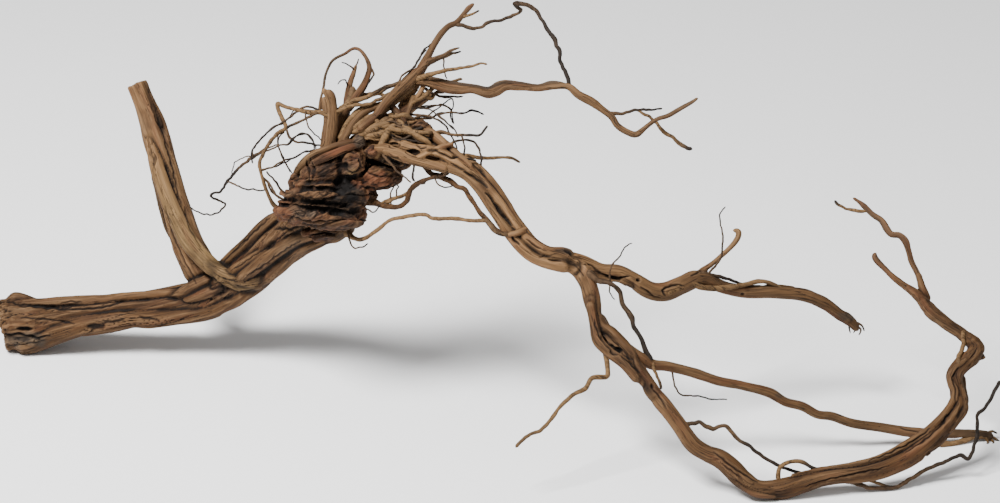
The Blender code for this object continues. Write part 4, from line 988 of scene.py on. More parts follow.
# The wood's material: noise as (width, length, detail, shift), and how far apart pores are across and along.
SHADED_FIBRES = (0.9, 22, 4.0)
SHADED_STREAKS = (3.0, 55, 3.0, 4.0)
HAIRLINES = (2.2, 48, 2.0, 9.0)
HAIRLINE_PLACES = (9, 60, 1.0, 14.0)
PORE_PLACES = (14, 40, 1.0, 20.0)
PORE_SPACING = (3.4, 3.4, 5.5)
ROUGHNESS, SHEEN, BUMP_HEIGHT = 0.75, 0.15, 0.9 * MM
# The lamps as name, place, size in metres and watts, and the world's and the floor's brightness.
LAMPS = (("key", (-0.9, -0.75, 2.1), 0.8, 150), ("fill", (1.4, -0.9, 1.5), 1.4, 8))
WORLD_STRENGTH = 0.3
FLOOR_HALF, FLOOR_DROP, FLOOR_COLOUR, FLOOR_ROUGHNESS = 12.0, 0.2 * MM, (0.93, 0.93, 0.93, 1), 0.9

RANDOM = np.random.default_rng(11)
LATTICE = RANDOM.permutation(256)
SLOPES = RANDOM.normal(size=(256, 3))
SLOPES /= np.linalg.norm(SLOPES, axis=1)[:, None]


def noise(points):
    """Smooth noise, between about -1 and 1, at each point."""
    cell = np.floor(points).astype(np.int64)
    inside = points - cell
    fade = inside ** 3 * (inside * (inside * 6 - 15) + 10)
    total = np.zeros(len(points))
    for corner in itertools.product((0, 1), repeat=3):
        at = cell + corner
        hashed = LATTICE[at[:, 0] & 255]
        hashed = LATTICE[(hashed + at[:, 1]) & 255]
        hashed = LATTICE[(hashed + at[:, 2]) & 255]
        weight = np.prod(np.where(corner, fade, 1 - fade), axis=1)
        total += weight * ((inside - corner) * SLOPES[hashed]).sum(axis=1)
    return 1.6 * total


def layered_noise(points, layers):
    """Noise with finer noise on it, each layer half as wide and half as strong."""
    return sum(noise(points * 2 ** layer + 17.3 * layer) / 2 ** layer for layer in range(layers))


def smooth_step(low, high, values):
    """0 below low, 1 above high, and a smooth rise between."""
    share = np.clip((values - low) / (high - low), 0, 1)
    return share * share * (3 - 2 * share)


def place(layout):
    """The points in the part's own frame for (across, down, behind) places on the leaning sheet."""
    layout = np.atleast_2d(np.asarray(layout, float))
    back = layout[:, 2] * UNIT
    spread = 1 + back / SIGHT_DISTANCE
    right = (layout[:, 0] - SHEET_HALF_WIDTH) * UNIT * spread
    up = (SHEET_HALF_HEIGHT - layout[:, 1]) * UNIT * spread
    points = SHEET_MIDDLE + up[:, None] * SHEET_UP + back[:, None] * SHEET_BACK
    points[:, 0] += right
    return points


def unplace(points):
    """The (across, down, behind) places on the leaning sheet for points in the part's own frame."""
    offset = points - SHEET_MIDDLE
    back = offset @ SHEET_BACK
    spread = 1 + back / SIGHT_DISTANCE
    across = SHEET_HALF_WIDTH + offset[:, 0] / spread / UNIT
    down = SHEET_HALF_HEIGHT - offset @ SHEET_UP / spread / UNIT
    return np.stack((across, down, back / UNIT), axis=1)


def spread_radii(stations):
    """The true radii of stations, in metres."""
    return stations[:, 3] * UNIT * (1 + stations[:, 2] * UNIT / SIGHT_DISTANCE)


def smoothed(stations, spacing):
    """Stations on a smooth curve through the given ones, about spacing apart."""
    padded = np.array([stations[0], *stations, stations[-1]], float)
    fine = []
    for a, b, c, d in zip(padded, padded[1:], padded[2:], padded[3:]):
        steps = max(1, round(np.linalg.norm(c[:3] - b[:3]) / spacing))
        for share in np.arange(steps) / steps:
            fine.append(0.5 * (2 * b + (c - a) * share + (2 * a - 5 * b + 4 * c - d) * share ** 2
                               + (3 * b - a - 3 * c + d) * share ** 3))
    return np.array([*fine, padded[-1]])


def tangle(count, depths, bulge, seed):
    """Short roots that cross each other over the crown root, their ends sunk in it."""
    draw = np.random.default_rng(seed)
    made = {}
    for order in range(count):
        turn, reach = draw.uniform(0, 2 * math.pi), math.sqrt(draw.uniform(0.02, 0.9))
        middle = np.array((392 + 32 * reach * math.cos(turn), 130 + 18 * reach * math.sin(turn)))
        heading = draw.choice((-0.9, -0.45, -0.1, 0.15, 0.35, 0.6)) + draw.uniform(-0.2, 0.2)
        half = draw.uniform(12, 28)
        way = half * np.array((math.cos(heading), math.sin(heading)))
        bend = draw.uniform(-11, 11) * np.array((-math.sin(heading), math.cos(heading)))
        radius = draw.choice((0.8, 1.2, 2.2, 3.0, 3.6))
        stations = []
        for share in (-1, -0.45, 0.1, 0.55, 1):
            across, down = middle + share * way + (1 - share * share) * bend + draw.uniform(-1.5, 1.5, 2)
            across = np.clip(across, 350, 432)
            down = np.clip(down, np.interp(across, (350, 385, 410, 432), (132, 110, 116, 132)), 158)
            depth = np.interp(across, (350, 400, 425, 450), depths) + bulge * (1 - 1.8 * share * share)
            stations.append((across, down, depth, radius * (1 - 0.35 * abs(share))))
        made[f"tangle_{seed}_{order}"] = stations
    return made


def rootlet_stations(places, behind, radius):
    """A slender root's stations, its depth and radius changing evenly along its length."""
    flat = np.array(places, float)
    along = np.concatenate(([0], np.cumsum(np.linalg.norm(np.diff(flat, axis=0), axis=1))))
    share = along / along[-1]
    depth = behind[0] + (behind[1] - behind[0]) * share
    radii = radius[0] + (radius[1] - radius[0]) * share
    return np.column_stack((flat, depth, radii))


def strand_stations(carrier, before, places):
    """A strand's stations, its depth taken from the run that it lies on."""
    run = smoothed(ALL_RUNS[carrier], 3)
    stations = []
    for across, down, radius in places:
        nearest = run[np.argmin((run[:, 0] - across) ** 2 + (run[:, 1] - down) ** 2)]
        stations.append((across, down, nearest[2] - before, radius))
    return stations


def colours_along(share, names):
    """The colour at each share of a run's length, passing evenly through the named colours."""
    stops = np.array([COLOURS[name] for name in names])
    return np.stack([np.interp(share, np.linspace(0, 1, len(stops)), channel) for channel in stops.T], axis=1)


class Run:
    """A run of wood: points along its middle, its radii, and directions that turn with it."""

    def __init__(self, name, stations, spacing):
        fine = smoothed(stations, spacing)
        self.name = name
        self.points = place(fine[:, :3])
        self.radii = np.maximum(spread_radii(fine), 0.2 * MM) * SLIMMER_CORES.get(name, 1)
        steps = np.gradient(self.points, axis=0)
        self.ahead = steps / np.linalg.norm(steps, axis=1)[:, None]
        lengths = np.linalg.norm(np.diff(self.points, axis=0), axis=1)
        self.along = np.concatenate(([0], np.cumsum(lengths)))
        side = np.cross(self.ahead[0], (0.3, 0.2, 0.93))
        sides = []
        for ahead in self.ahead:
            side = side - ahead * (side @ ahead)
            side /= np.linalg.norm(side)
            sides.append(side)
        self.side = np.array(sides)
        self.other = np.cross(self.ahead, self.side)
        names = RUN_COLOURS.get(name) or COLOURS_BY_START.get(name.split("_")[0], "wood")
        names = (names,) if isinstance(names, str) else names
        self.colours = colours_along(self.along / self.along[-1], names)


ALL_RUNS = {**TRUNK_AND_NECK, **STEM_AND_LIMBS, **CROWN, **MORE_RUNS}
# The loop's end runs on into the fork's left branch.
ALL_RUNS["descender"] = [
    *STEM_AND_LIMBS["descender"][:-1],
    (921, 298.5, -105, 5.9), (911.5, 290.5, -103, 4.5), (902, 284, -102, 3.4), (893, 277, -100, 2.6),
]
for strand_name, (carrier_name, before_middle, strand_places) in STRANDS.items():
    ALL_RUNS[strand_name] = strand_stations(carrier_name, before_middle, strand_places)


def tube(run, sides, knobbly, flat_start, wobble=0.0):
    """Rings round a run, closed at both ends: its vertices, its faces and how far along each vertex lies."""
    count = len(run.points)
    turns = np.arange(sides) * 2 * math.pi / sides
    round_part = np.stack((np.cos(turns), np.sin(turns)), axis=1)
    radii = run.radii[:, None] * np.ones(sides)
    ring = np.repeat(np.arange(count), sides)
    spot = np.tile(round_part, (count, 1))
    seed = sum(map(ord, run.name)) * 0.37
    where = np.column_stack((spot * 0.9 + seed, run.along[ring] / (2.8 * run.radii[ring] + 2.5 * MM)))
    radii = radii.ravel() * (1 + knobbly * noise(where))
    # The ends close in a round cap, except where the wood is sawn or broken straight.
    to_start = run.along[ring]
    to_end = run.along[-1] - run.along[ring]
    cap = np.minimum(1, np.sqrt(np.clip(to_end / np.maximum(0.9 * run.radii[ring], 1e-6), 0.02, 1)))
    if not flat_start:
        cap *= np.minimum(1, np.sqrt(np.clip(to_start / np.maximum(0.9 * run.radii[ring], 1e-6), 0.02, 1)))
    radii *= cap
    middle = run.points[ring]
    if wobble:
        drift = np.column_stack((run.along / (6 * MM) + seed, np.full(count, seed), np.zeros(count)))
        shift = wobble * (layered_noise(drift, 2)[:, None] * run.side
                          + layered_noise(drift + 41.7, 2)[:, None] * run.other)
        middle = (run.points + shift)[ring]
    vertices = middle + radii[:, None] * (spot[:, :1] * run.side[ring] + spot[:, 1:] * run.other[ring])
    start, end = len(vertices), len(vertices) + 1
    vertices = np.vstack((vertices, middle[0], middle[-1]))
    faces = []
    for row in range(count - 1):
        for column in range(sides):
            nxt = (column + 1) % sides
            faces.append((row * sides + column, row * sides + nxt, (row + 1) * sides + nxt,
                          (row + 1) * sides + column))
    last = (count - 1) * sides
    for column in range(sides):
        nxt = (column + 1) % sides
        faces.append((start, nxt, column))
        faces.append((end, last + column, last + nxt))
    along = np.concatenate((run.along[ring], (0, run.along[-1])))
    return vertices, faces, along


def lump_axes(middle, half_sizes, turn):
    """A lump's middle and its three half axes as rows: along, across and deep."""
    spin = math.radians(turn)
    right = np.array((1.0, 0, 0))
    along = math.cos(spin) * right - math.sin(spin) * SHEET_UP
    across = math.sin(spin) * right + math.cos(spin) * SHEET_UP
    scale = UNIT * (1 + middle[2] * UNIT / SIGHT_DISTANCE)
    sizes = np.array(half_sizes) * scale
    return place(middle)[0], np.array((along * sizes[0], across * sizes[1], SHEET_BACK * sizes[2]))


def lump_mesh(middle, half_sizes, turn):
    """A ball stretched to a lump: its vertices and faces."""
    centre, axes = lump_axes(middle, half_sizes, turn)
    rows, columns = 20, 32
    vertices = [centre + axes[1]]
    for row in range(1, rows):
        height = math.cos(math.pi * row / rows)
        reach = math.sin(math.pi * row / rows)
        for column in range(columns):
            angle = 2 * math.pi * column / columns
            vertices.append(centre + reach * math.cos(angle) * axes[0] + height * axes[1]
                            + reach * math.sin(angle) * axes[2])
    vertices.append(centre - axes[1])
    bottom = len(vertices) - 1
    faces = []
    for column in range(columns):
        nxt = (column + 1) % columns
        faces.append((0, 1 + nxt, 1 + column))
        faces.append((bottom, bottom - columns + column, bottom - columns + nxt))
        for row in range(rows - 2):
            top = 1 + row * columns
            faces.append((top + column, top + nxt, top + columns + nxt, top + columns + column))
    return np.array(vertices), faces


def join_parts(parts):
    """Several (vertices, faces) made one."""
    vertices, faces, start = [], [], 0
    for more_vertices, more_faces in parts:
        vertices.append(more_vertices)
        faces += [tuple(start + corner for corner in face) for face in more_faces]
        start += len(more_vertices)
    return np.vstack(vertices), faces


def fused_skin(parts, square):
    """One fine closed skin round all the parts."""
    vertices, faces = join_parts(parts)
    mesh = bpy.data.meshes.new("rough")
    mesh.from_pydata(vertices.tolist(), [], faces)
    rough = bpy.data.objects.new("rough", mesh)
    bpy.context.collection.objects.link(rough)
    remesh = rough.modifiers.new("skin", "REMESH")
    remesh.mode = "VOXEL"
    remesh.voxel_size = square
    graph = bpy.context.evaluated_depsgraph_get()
    skin = bpy.data.meshes.new_from_object(rough.evaluated_get(graph))
    bpy.data.objects.remove(rough)
    bpy.data.meshes.remove(mesh)
    return skin


def positions(mesh):
    """A mesh's vertex positions."""
    flat = np.empty(len(mesh.vertices) * 3, np.float32)
    mesh.vertices.foreach_get("co", flat)
    return flat.reshape(-1, 3).astype(float)


def normals(mesh):
    """A mesh's vertex normals."""
    flat = np.empty(len(mesh.vertices) * 3, np.float32)
    mesh.vertex_normals.foreach_get("vector", flat)
    return flat.reshape(-1, 3).astype(float)


def move_vertices(mesh, points):
    """Gives a mesh new vertex positions."""
    mesh.vertices.foreach_set("co", points.astype(np.float32).ravel())
    mesh.update()


def relax(mesh, rounds, strength):
    """Evens out a mesh, each vertex moving towards the middle of its neighbours."""
    pairs = np.empty(len(mesh.edges) * 2, np.int32)
    mesh.edges.foreach_get("vertices", pairs)
    one, two = pairs.reshape(-1, 2).T
    points = positions(mesh)
    count = len(points)
    share = np.maximum(np.bincount(one, minlength=count) + np.bincount(two, minlength=count), 1)
    for _ in range(rounds):
        middle = np.empty_like(points)
        for axis in range(3):
            values = points[:, axis]
            total = np.bincount(one, values[two], count) + np.bincount(two, values[one], count)
            middle[:, axis] = total / share
        points += strength * (middle - points)
    move_vertices(mesh, points)


class Grain:
    """For each point: the two nearest runs, where the point lies on each, and how near they are."""

    def __init__(self, points, runs, lumps):
        count = len(points)
        self.gap = np.full((2, count), 1.0)
        self.where = np.zeros((2, count, 3))
        self.radius = np.full((2, count), 10 * MM)
        self.colour = np.zeros((2, count, 3))
        for order, run in enumerate(runs):
            reach = run.radii.max() + 12 * MM
            low, high = run.points.min(axis=0) - reach, run.points.max(axis=0) + reach
            near = np.where(np.all((points > low) & (points < high), axis=1))[0]
            for chunk in np.array_split(near, max(1, len(near) // 20000)):
                self.measure_run(points, chunk, run, order)
        for lump in lumps:
            self.measure_lump(points, *lump)

    def offer(self, index, gap, where, radius, colour):
        """Keeps these where they are nearer than what is known."""
        best = gap < self.gap[0, index]
        second = ~best & (gap < self.gap[1, index])
        offered = ((self.gap, gap), (self.where, where), (self.radius, radius), (self.colour, colour))
        for store, value in offered:
            store[1, index[best]] = store[0, index[best]]
            store[0, index[best]] = value[best]
            store[1, index[second]] = value[second]

    def measure_run(self, points, index, run, order):
        spots = points[index]
        gaps = np.linalg.norm(spots[:, None, :] - run.points[None, :, :], axis=2) - run.radii
        nearest = np.argmin(gaps, axis=1)
        offset = spots - run.points[nearest]
        ahead = (offset * run.ahead[nearest]).sum(axis=1)
        x = (offset * run.side[nearest]).sum(axis=1)
        y = (offset * run.other[nearest]).sum(axis=1)
        along = run.along[nearest] + ahead
        turn = TWIST_PER_METRE * along
        where = np.stack((
            x * np.cos(turn) - y * np.sin(turn) + 0.37 * order,
            x * np.sin(turn) + y * np.cos(turn) + 0.61 * order,
            along + 0.9 * order,
        ), axis=1)
        self.offer(index, gaps.min(axis=1), where, run.radii[nearest], run.colours[nearest])

    def measure_lump(self, points, centre, axes):
        sizes = np.linalg.norm(axes, axis=1)
        local = (points - centre) @ (axes / sizes[:, None]).T / sizes
        gap = (np.linalg.norm(local, axis=1) - 1) * sizes.min()
        where = slanted(unplace(points)) * UNIT + 3.3
        index = np.arange(len(points))
        radius = np.full(len(points), 20 * MM)
        self.offer(index, gap, where, radius, np.tile(COLOURS["bark_brown"], (len(points), 1)))

    def blended(self, function):
        """The function's value on the nearest run, mixed with the next one's where the two are close."""
        lead = 0.5 + 0.5 * smooth_step(0, BLEND_WIDTH, self.gap[1] - self.gap[0])
        return lead * function(self.where[0]) + (1 - lead) * function(self.where[1])


def grain_noise(width, length, layers=1, shift=0.0):
    """Noise stretched along the grain: about width across and length along it, in millimetres."""
    scale = np.array((1 / width, 1 / width, 1 / length)) / MM

    def value(where):
        return layered_noise(where * scale + shift, layers)

    return value


def crack_marks(layout, facing):
    """Depth in metres and painted shade that the cracks give to each point."""
    depth, dark = np.zeros(len(layout)), np.zeros(len(layout))
    for places, half_width, millimetres, shade_strength in CRACKS:
        line = np.array(places, float)
        margin = 4 * half_width + 4
        low, high = line.min(axis=0) - margin, line.max(axis=0) + margin
        near = np.where(np.all((layout[:, :2] > low) & (layout[:, :2] < high), axis=1) & (facing > 0.05))[0]
        if not len(near):
            continue
        sway = np.stack((noise(layout[near] / 7), noise(layout[near] / 7 + 9)), axis=1)
        spots = layout[near, :2] + 1.3 * sway
        away = np.full(len(near), 99.0)
        lengths = np.linalg.norm(np.diff(line, axis=0), axis=1)
        total, travelled, end_share = lengths.sum(), 0.0, np.zeros(len(near))
        for start, end, length in zip(line, line[1:], lengths):
            way = end - start
            share = np.clip((spots - start) @ way / (way @ way), 0, 1)
            gap = np.linalg.norm(spots - start - share[:, None] * way, axis=1)
            position = (travelled + share * length) / total
            end_share = np.where(gap < away, position, end_share)
            away = np.minimum(away, gap)
            travelled += length
        taper = np.sqrt(np.clip(4 * end_share * (1 - end_share), 0, 1))
        width = half_width * (0.35 + 0.65 * taper)
        strength = np.exp(-(away / width) ** 2) * smooth_step(0.05, 0.35, facing[near])
        depth[near] = np.maximum(depth[near], millimetres * MM * strength * taper)
        dark[near] = np.maximum(dark[near], shade_strength * np.exp(-(away / (1.15 * width)) ** 2)
                                * smooth_step(0.05, 0.35, facing[near]))
    return depth, dark


def hollow_marks(layout, facing):
    """Depth in metres and painted shade that the hollows and knot holes give to each point."""
    depth, dark = np.zeros(len(layout)), np.zeros(len(layout))
    for middle, half_sizes, millimetres, shade_strength in HOLLOWS:
        rough = 0.25 * noise(layout / 5)
        away = np.linalg.norm((layout[:, :2] - middle) / half_sizes, axis=1) + rough
        strength = (1 - smooth_step(0.55, 1.25, away)) * smooth_step(0.0, 0.3, facing)
        depth = np.maximum(depth, millimetres * MM * strength)
        dark = np.maximum(dark, shade_strength * strength)
    return depth, dark


def patch_colours(colour, layout, facing):
    """Colours with the patches mixed in."""
    for middle, half_sizes, name, strength in PATCHES:
        away = np.linalg.norm((layout[:, :2] - middle) / half_sizes, axis=1) + 0.45 * noise(layout / 9)
        share = strength * (1 - smooth_step(0.5, 1.15, away)) * smooth_step(-0.1, 0.25, facing)
        colour = colour + share[:, None] * (COLOURS[name] - colour)
    return colour


def add_attributes(mesh, colour, dark, where):
    """Keeps what the wood's material reads on each vertex."""
    tint = mesh.attributes.new("tint", "FLOAT_COLOR", "POINT")
    tint.data.foreach_set("color", np.column_stack((colour, np.ones(len(colour)))).astype(np.float32).ravel())
    shade = mesh.attributes.new("dark", "FLOAT", "POINT")
    # The painted shade of cracks, splits, seams, ledges and hollows, which the material mixes in as near
    # black.
    shade.data.foreach_set("value", dark.astype(np.float32))
    grain = mesh.attributes.new("grain", "FLOAT_VECTOR", "POINT")
    grain.data.foreach_set("vector", where.astype(np.float32).ravel())


def facing_viewer(points, directions):
    """How squarely each surface point faces the viewer."""
    viewer = SHEET_MIDDLE - SIGHT_DISTANCE * SHEET_BACK
    sight = viewer - points
    return (directions * sight).sum(axis=1) / np.linalg.norm(sight, axis=1)


def slanted(layout):
    """Layout places turned so that the last axis follows the burl's fibres, which rise to the right."""
    across, down, behind = layout.T
    rise, run = math.sin(BURL_SLOPE), math.cos(BURL_SLOPE)
    return np.stack((across * rise + down * run, behind, across * run - down * rise), axis=1)


def wood_relief(grain, points, size, is_trunk):
    """Rise in metres of plain wood, from furrows, fibres, splits, seams and valleys between runs, and the
    painted shade in its splits and seams.
    """
    ridges = grain.blended(grain_noise(*RIDGES))
    fibres = grain.blended(grain_noise(*FIBRES))
    fissure = np.abs(grain.blended(grain_noise(*FISSURES)))
    allowed = smooth_step(0.0, 0.35, grain.blended(grain_noise(*FISSURE_PLACES)))
    split = (1 - smooth_step(0.015, 0.085, fissure)) * allowed * smooth_step(4 * MM, 8 * MM, size)
    split *= 1.0 if is_trunk else 0.5
    split *= 1 - 0.7 * smooth_step(COLOURS["limb"][0], COLOURS["pale"][0], grain.colour[0][:, 0])
    apart = grain.gap[1] - grain.gap[0]
    seam_open = 0.2 + 0.8 * smooth_step(-0.2, 0.5, noise(points / (16 * MM)))
    seam = np.exp(-(apart / SEAM_WIDTH) ** 2) * seam_open
    seam *= smooth_step(2.4 * MM, 5 * MM, np.minimum(grain.radius[0], grain.radius[1]))
    valley = np.exp(-(apart / VALLEY_WIDTH) ** 2)

    rise = size * ((TRUNK_FURROWS if is_trunk else FURROWS) * ridges + FIBRE_SHARE * fibres)
    rise -= np.minimum(0.14 * size, SPLIT_DEPTH) * split
    rise -= np.minimum(0.24 * size, SEAM_DEPTH) * seam + np.minimum(0.1 * size, VALLEY_DEPTH) * valley
    # Painted shade in the splits and in the seams between runs.
    return rise, np.maximum(0.85 * split, 0.8 * seam)


def smooth_lobe(layout):
    """1 on the burl's upper left lobe, where the wood lies smooth, and 0 below it."""
    return 1 - smooth_step(168, 186, layout[:, 1] - 0.25 * (layout[:, 0] - 320))


def add_burl_relief(rise, dark, points, layout):
    """The rise and painted shade with the burl's ledges, plates, streaks and undercuts added, the shade
    painted under the ledges and in the low spots.
    """
    warp = 5 * layered_noise(layout / (34, 20, 24), 3)
    layer = (layout[:, 1] + 0.12 * layout[:, 0] + warp) / LEDGE_SPACING
    phase = layer - np.floor(layer)
    ledge = smooth_step(0.0, 0.18, phase) * (1 - 0.75 * phase)
    rough = layered_noise(points / (7 * MM), 4)
    plates = layered_noise(slanted(layout) * (0.16, 0.1, 0.045) + 3, 3)
    streaks = layered_noise(slanted(layout) * (0.34, 0.2, 0.05), 3)
    lobe = smooth_lobe(layout)
    undercut = 1 - smooth_step(0.03, 0.16, np.minimum(phase, 1 - phase))
    undercut *= smooth_step(-0.25, 0.25, noise(points / (15 * MM) + 7)) * (1 - 0.8 * lobe)
    rise = rise + (1 - 0.75 * lobe) * LEDGE_HEIGHT * (ledge - 0.45)
    rise += MM * (0.8 * rough + 0.9 * plates + 0.8 * lobe * streaks)
    rise -= UNDERCUT_DEPTH * undercut
    # Painted shade under the ledges, in the low spots of the rough and between the plates.
    dark = np.maximum(dark, 0.7 * undercut)
    dark = np.maximum(dark, 0.6 * smooth_step(0.4, 0.85, -rough))
    dark = np.maximum(dark, 0.75 * smooth_step(0.3, 0.6, -plates))
    return rise, dark


def mixed(colour, share, name):
    """The colour with a share of a named one at each point."""
    return colour + share[:, None] * (COLOURS[name] - colour)


def wood_colour(grain, points, layout, facing, is_burl):
    """The wood's colour at each point: its run's own, weathered, stained and patched, with painted shade in
    some of the patches.
    """
    lead = 0.5 + 0.5 * smooth_step(0, BLEND_WIDTH, grain.gap[1] - grain.gap[0])
    colour = lead[:, None] * grain.colour[0] + (1 - lead[:, None]) * grain.colour[1]
    weather = smooth_step(-0.7, 0.7, grain.blended(grain_noise(*WEATHERING)))
    colour = colour * (0.78 + 0.4 * weather)[:, None]
    stain = smooth_step(0.15, 0.75, layered_noise(points / (28 * MM) + 4, 3))
    colour = mixed(colour, 0.5 * stain, "wood_dark")
    red = smooth_step(0.1, 0.6, grain.blended(grain_noise(*RED_PLACES)))
    colour = mixed(colour, 0.4 * red, "rust")
    dusty = smooth_step(0.1, 0.6, grain.blended(grain_noise(*DUSTY_PLACES)))
    colour = mixed(colour, 0.16 * dusty, "dust_and_highlight")
    if is_burl:
        warm = smooth_step(-0.2, 0.6, layered_noise(points / (14 * MM) + 2, 2))
        colour = mixed(colour, 0.6 * warm, "rust")
        tan = smooth_step(0.0, 0.5, layered_noise(slanted(layout) * (0.2, 0.1, 0.04) + 8, 3))
        colour = mixed(colour, tan * (0.45 + 0.5 * smooth_lobe(layout)), "wood")
    return patch_colours(colour, layout, facing)


def carve(mesh, runs, lumps, name):
    """Cuts grain, seams, cracks and ledges into a skin, and colours it, with painted shade in its hollows,
    cracks and seams and painted highlight on its crests.
    """
    points, directions = positions(mesh), normals(mesh)
    layout = unplace(points)
    facing = facing_viewer(points, directions)
    grain = Grain(points, runs, lumps)
    is_burl = bool(lumps)
    size = np.clip(grain.radius[0], 2 * MM, 22 * MM)

    rise, dark = wood_relief(grain, points, size, name == "trunk")
    if is_burl:
        rise, dark = add_burl_relief(rise, dark, points, layout)
    if name == "trunk":
        torn = 1 - smooth_step(2, 16, layout[:, 0])
        rise += torn * TORN_HEIGHT * layered_noise(points / (6 * MM), 3)
    crack_depth, crack_shade = crack_marks(layout, facing)
    hollow_depth, hollow_shade = hollow_marks(layout, facing)
    rise -= crack_depth + hollow_depth
    # Painted shade in the cracks and hollows.
    dark = np.maximum(dark, np.maximum(crack_shade, hollow_shade))
    colour = wood_colour(grain, points, layout, facing, is_burl)

    moved = points + directions * np.clip(rise, -CARVING_LIMIT, CARVING_LIMIT)[:, None]
    move_vertices(mesh, above_floor(moved))
    hollow, broad = sunken(mesh, HOLLOW_ROUNDS)
    # Painted shade in the narrow hollows.
    dark = np.clip(np.maximum(dark, 0.9 * smooth_step(0.05 * MM, 0.42 * MM, hollow)), 0, 1)
    # Paler convex edges: partly wear, partly painted highlight.
    worn_and_highlit = smooth_step(0.04 * MM, 0.3 * MM, -hollow) * (0.4 if is_burl else 1)
    colour = mixed(colour, 0.22 * worn_and_highlit, "dust_and_highlight")
    # Painted shade in the broad hollows.
    valley_shade = smooth_step(0.15 * MM, 1.1 * MM, broad)
    colour = colour * (1 - 0.45 * valley_shade[:, None] * (0.9, 1.0, 1.1))
    # Painted highlight on the broad crests.
    crest_highlight = smooth_step(0.15 * MM, 0.9 * MM, -broad)
    colour = colour * (1 + 0.3 * crest_highlight[:, None])
    add_attributes(mesh, colour, dark, grain.where[0])


def sunken(mesh, stops):
    """How far each vertex lies below the surface round it, evened out by each number of rounds."""
    points, directions = positions(mesh), normals(mesh)
    even = mesh.copy()
    depths, done = [], 0
    for rounds in stops:
        relax(even, rounds - done, 0.6)
        done = rounds
        depths.append(((positions(even) - points) * directions).sum(axis=1))
    bpy.data.meshes.remove(even)
    return depths


def above_floor(points):
    """Keeps every point on or above the floor."""
    kept = points.copy()
    kept[:, 2] = np.maximum(kept[:, 2], 0.0)
    return kept


def finish_piece(mesh, name, material):
    """Makes the mesh a piece of the dressed part."""
    mesh.shade_smooth()
    mesh.materials.clear()
    mesh.materials.append(material)
    piece = bpy.data.objects.new(name, mesh)
    bpy.context.collection.objects.link(piece)
    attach(piece, "root")
    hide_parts("driftwood")
    return piece


def make_skins(material):
    """The thick wood."""
    burl_lumps = {**BURL_LUMPS, **MORE_LUMPS}
    for name, (run_names, with_lumps, square) in SKINS.items():
        runs = [Run(run_name, ALL_RUNS[run_name], 1.6) for run_name in run_names]
        parts = [tube(run, 28, 0.1, run.name in FLAT_STARTS)[:2] for run in runs]
        lumps = []
        if with_lumps:
            parts += [lump_mesh(*lump) for lump in burl_lumps.values()]
            lumps = [lump_axes(*lump) for lump in burl_lumps.values()]
        skin = fused_skin(parts, square * MM * COARSER)
        relax(skin, 4, 0.5)
        carve(skin, runs, lumps, name)
        finish_piece(skin, name, material)


def slender_mesh(name, stations, sides):
    """A slender root as a tube with what its material reads."""
    run = Run(name, stations, 1.5)
    run.radii *= THICKER
    wobble = (0.7 if run.radii.max() < 1.9 * MM else 0.3) * MM
    vertices, faces, along = tube(run, sides, 0.3, False, wobble)
    return vertices, faces, along, run


def make_rootlets(material):
    """The slender roots, in a few pieces by where they grow."""
    groups = {}
    for name, (places, behind, radius) in {**ROOTLETS, **MORE_ROOTLETS}.items():
        stations = rootlet_stations(places, behind, radius)
        groups.setdefault(rootlet_group(places[0]), []).append((name, stations))
    slender = {name: ALL_RUNS[name] for name in SLENDER_RUNS}
    slender |= tangle(20, (-105, -113, -121, -125), -3.5, 5) | tangle(14, (-70, -74, -96, -104), 3.5, 6)
    for name, stations in slender.items():
        groups.setdefault(rootlet_group(stations[0]), []).append((name, stations))
    for group, members in groups.items():
        parts, colours, wheres = [], [], []
        for order, (name, stations) in enumerate(members):
            thick = max(station[3] for station in stations)
            vertices, faces, along, run = slender_mesh(name, stations, 10 if thick > 1.7 else 7)
            parts.append((vertices, faces))
            share = along / run.along[-1]
            seed = sum(map(ord, name)) * 0.13
            spots = np.column_stack((along / (22 * MM) + seed, np.full(len(along), seed), share))
            start = 0.0 if name in DARK_ROOTS else 0.15 if thick < 1.3 else 0.5
            mixing = smooth_step(start, start + 0.6, share + 0.5 * noise(spots))
            if thick > 2.2 and name not in DARK_ROOTS:
                mixing *= 0.4
            pale = thick > 1.3 and name not in DARK_ROOTS
            base = COLOURS["wood" if name in BROWN_ROOTS else "twig_pale" if pale else "twig"]
            colours.append(mixed(base, mixing, "twig_dark"))
            sideways = vertices[:, 0] * 0.4 + vertices[:, 2] * 0.5
            wheres.append(np.column_stack((sideways, vertices[:, 1], along + order)))
        vertices, faces = join_parts(parts)
        mesh = bpy.data.meshes.new(group)
        mesh.from_pydata(above_floor(vertices).tolist(), [], faces)
        add_attributes(mesh, np.vstack(colours), np.zeros(len(vertices)), np.vstack(wheres))
        finish_piece(mesh, group, material)


def rootlet_group(station):
    """The piece that a slender root belongs to, by where it starts."""
    if station[0] > 560:
        return "rootlets_limbs"
    return "rootlets_left" if station[0] < 322 else "rootlets_crown"


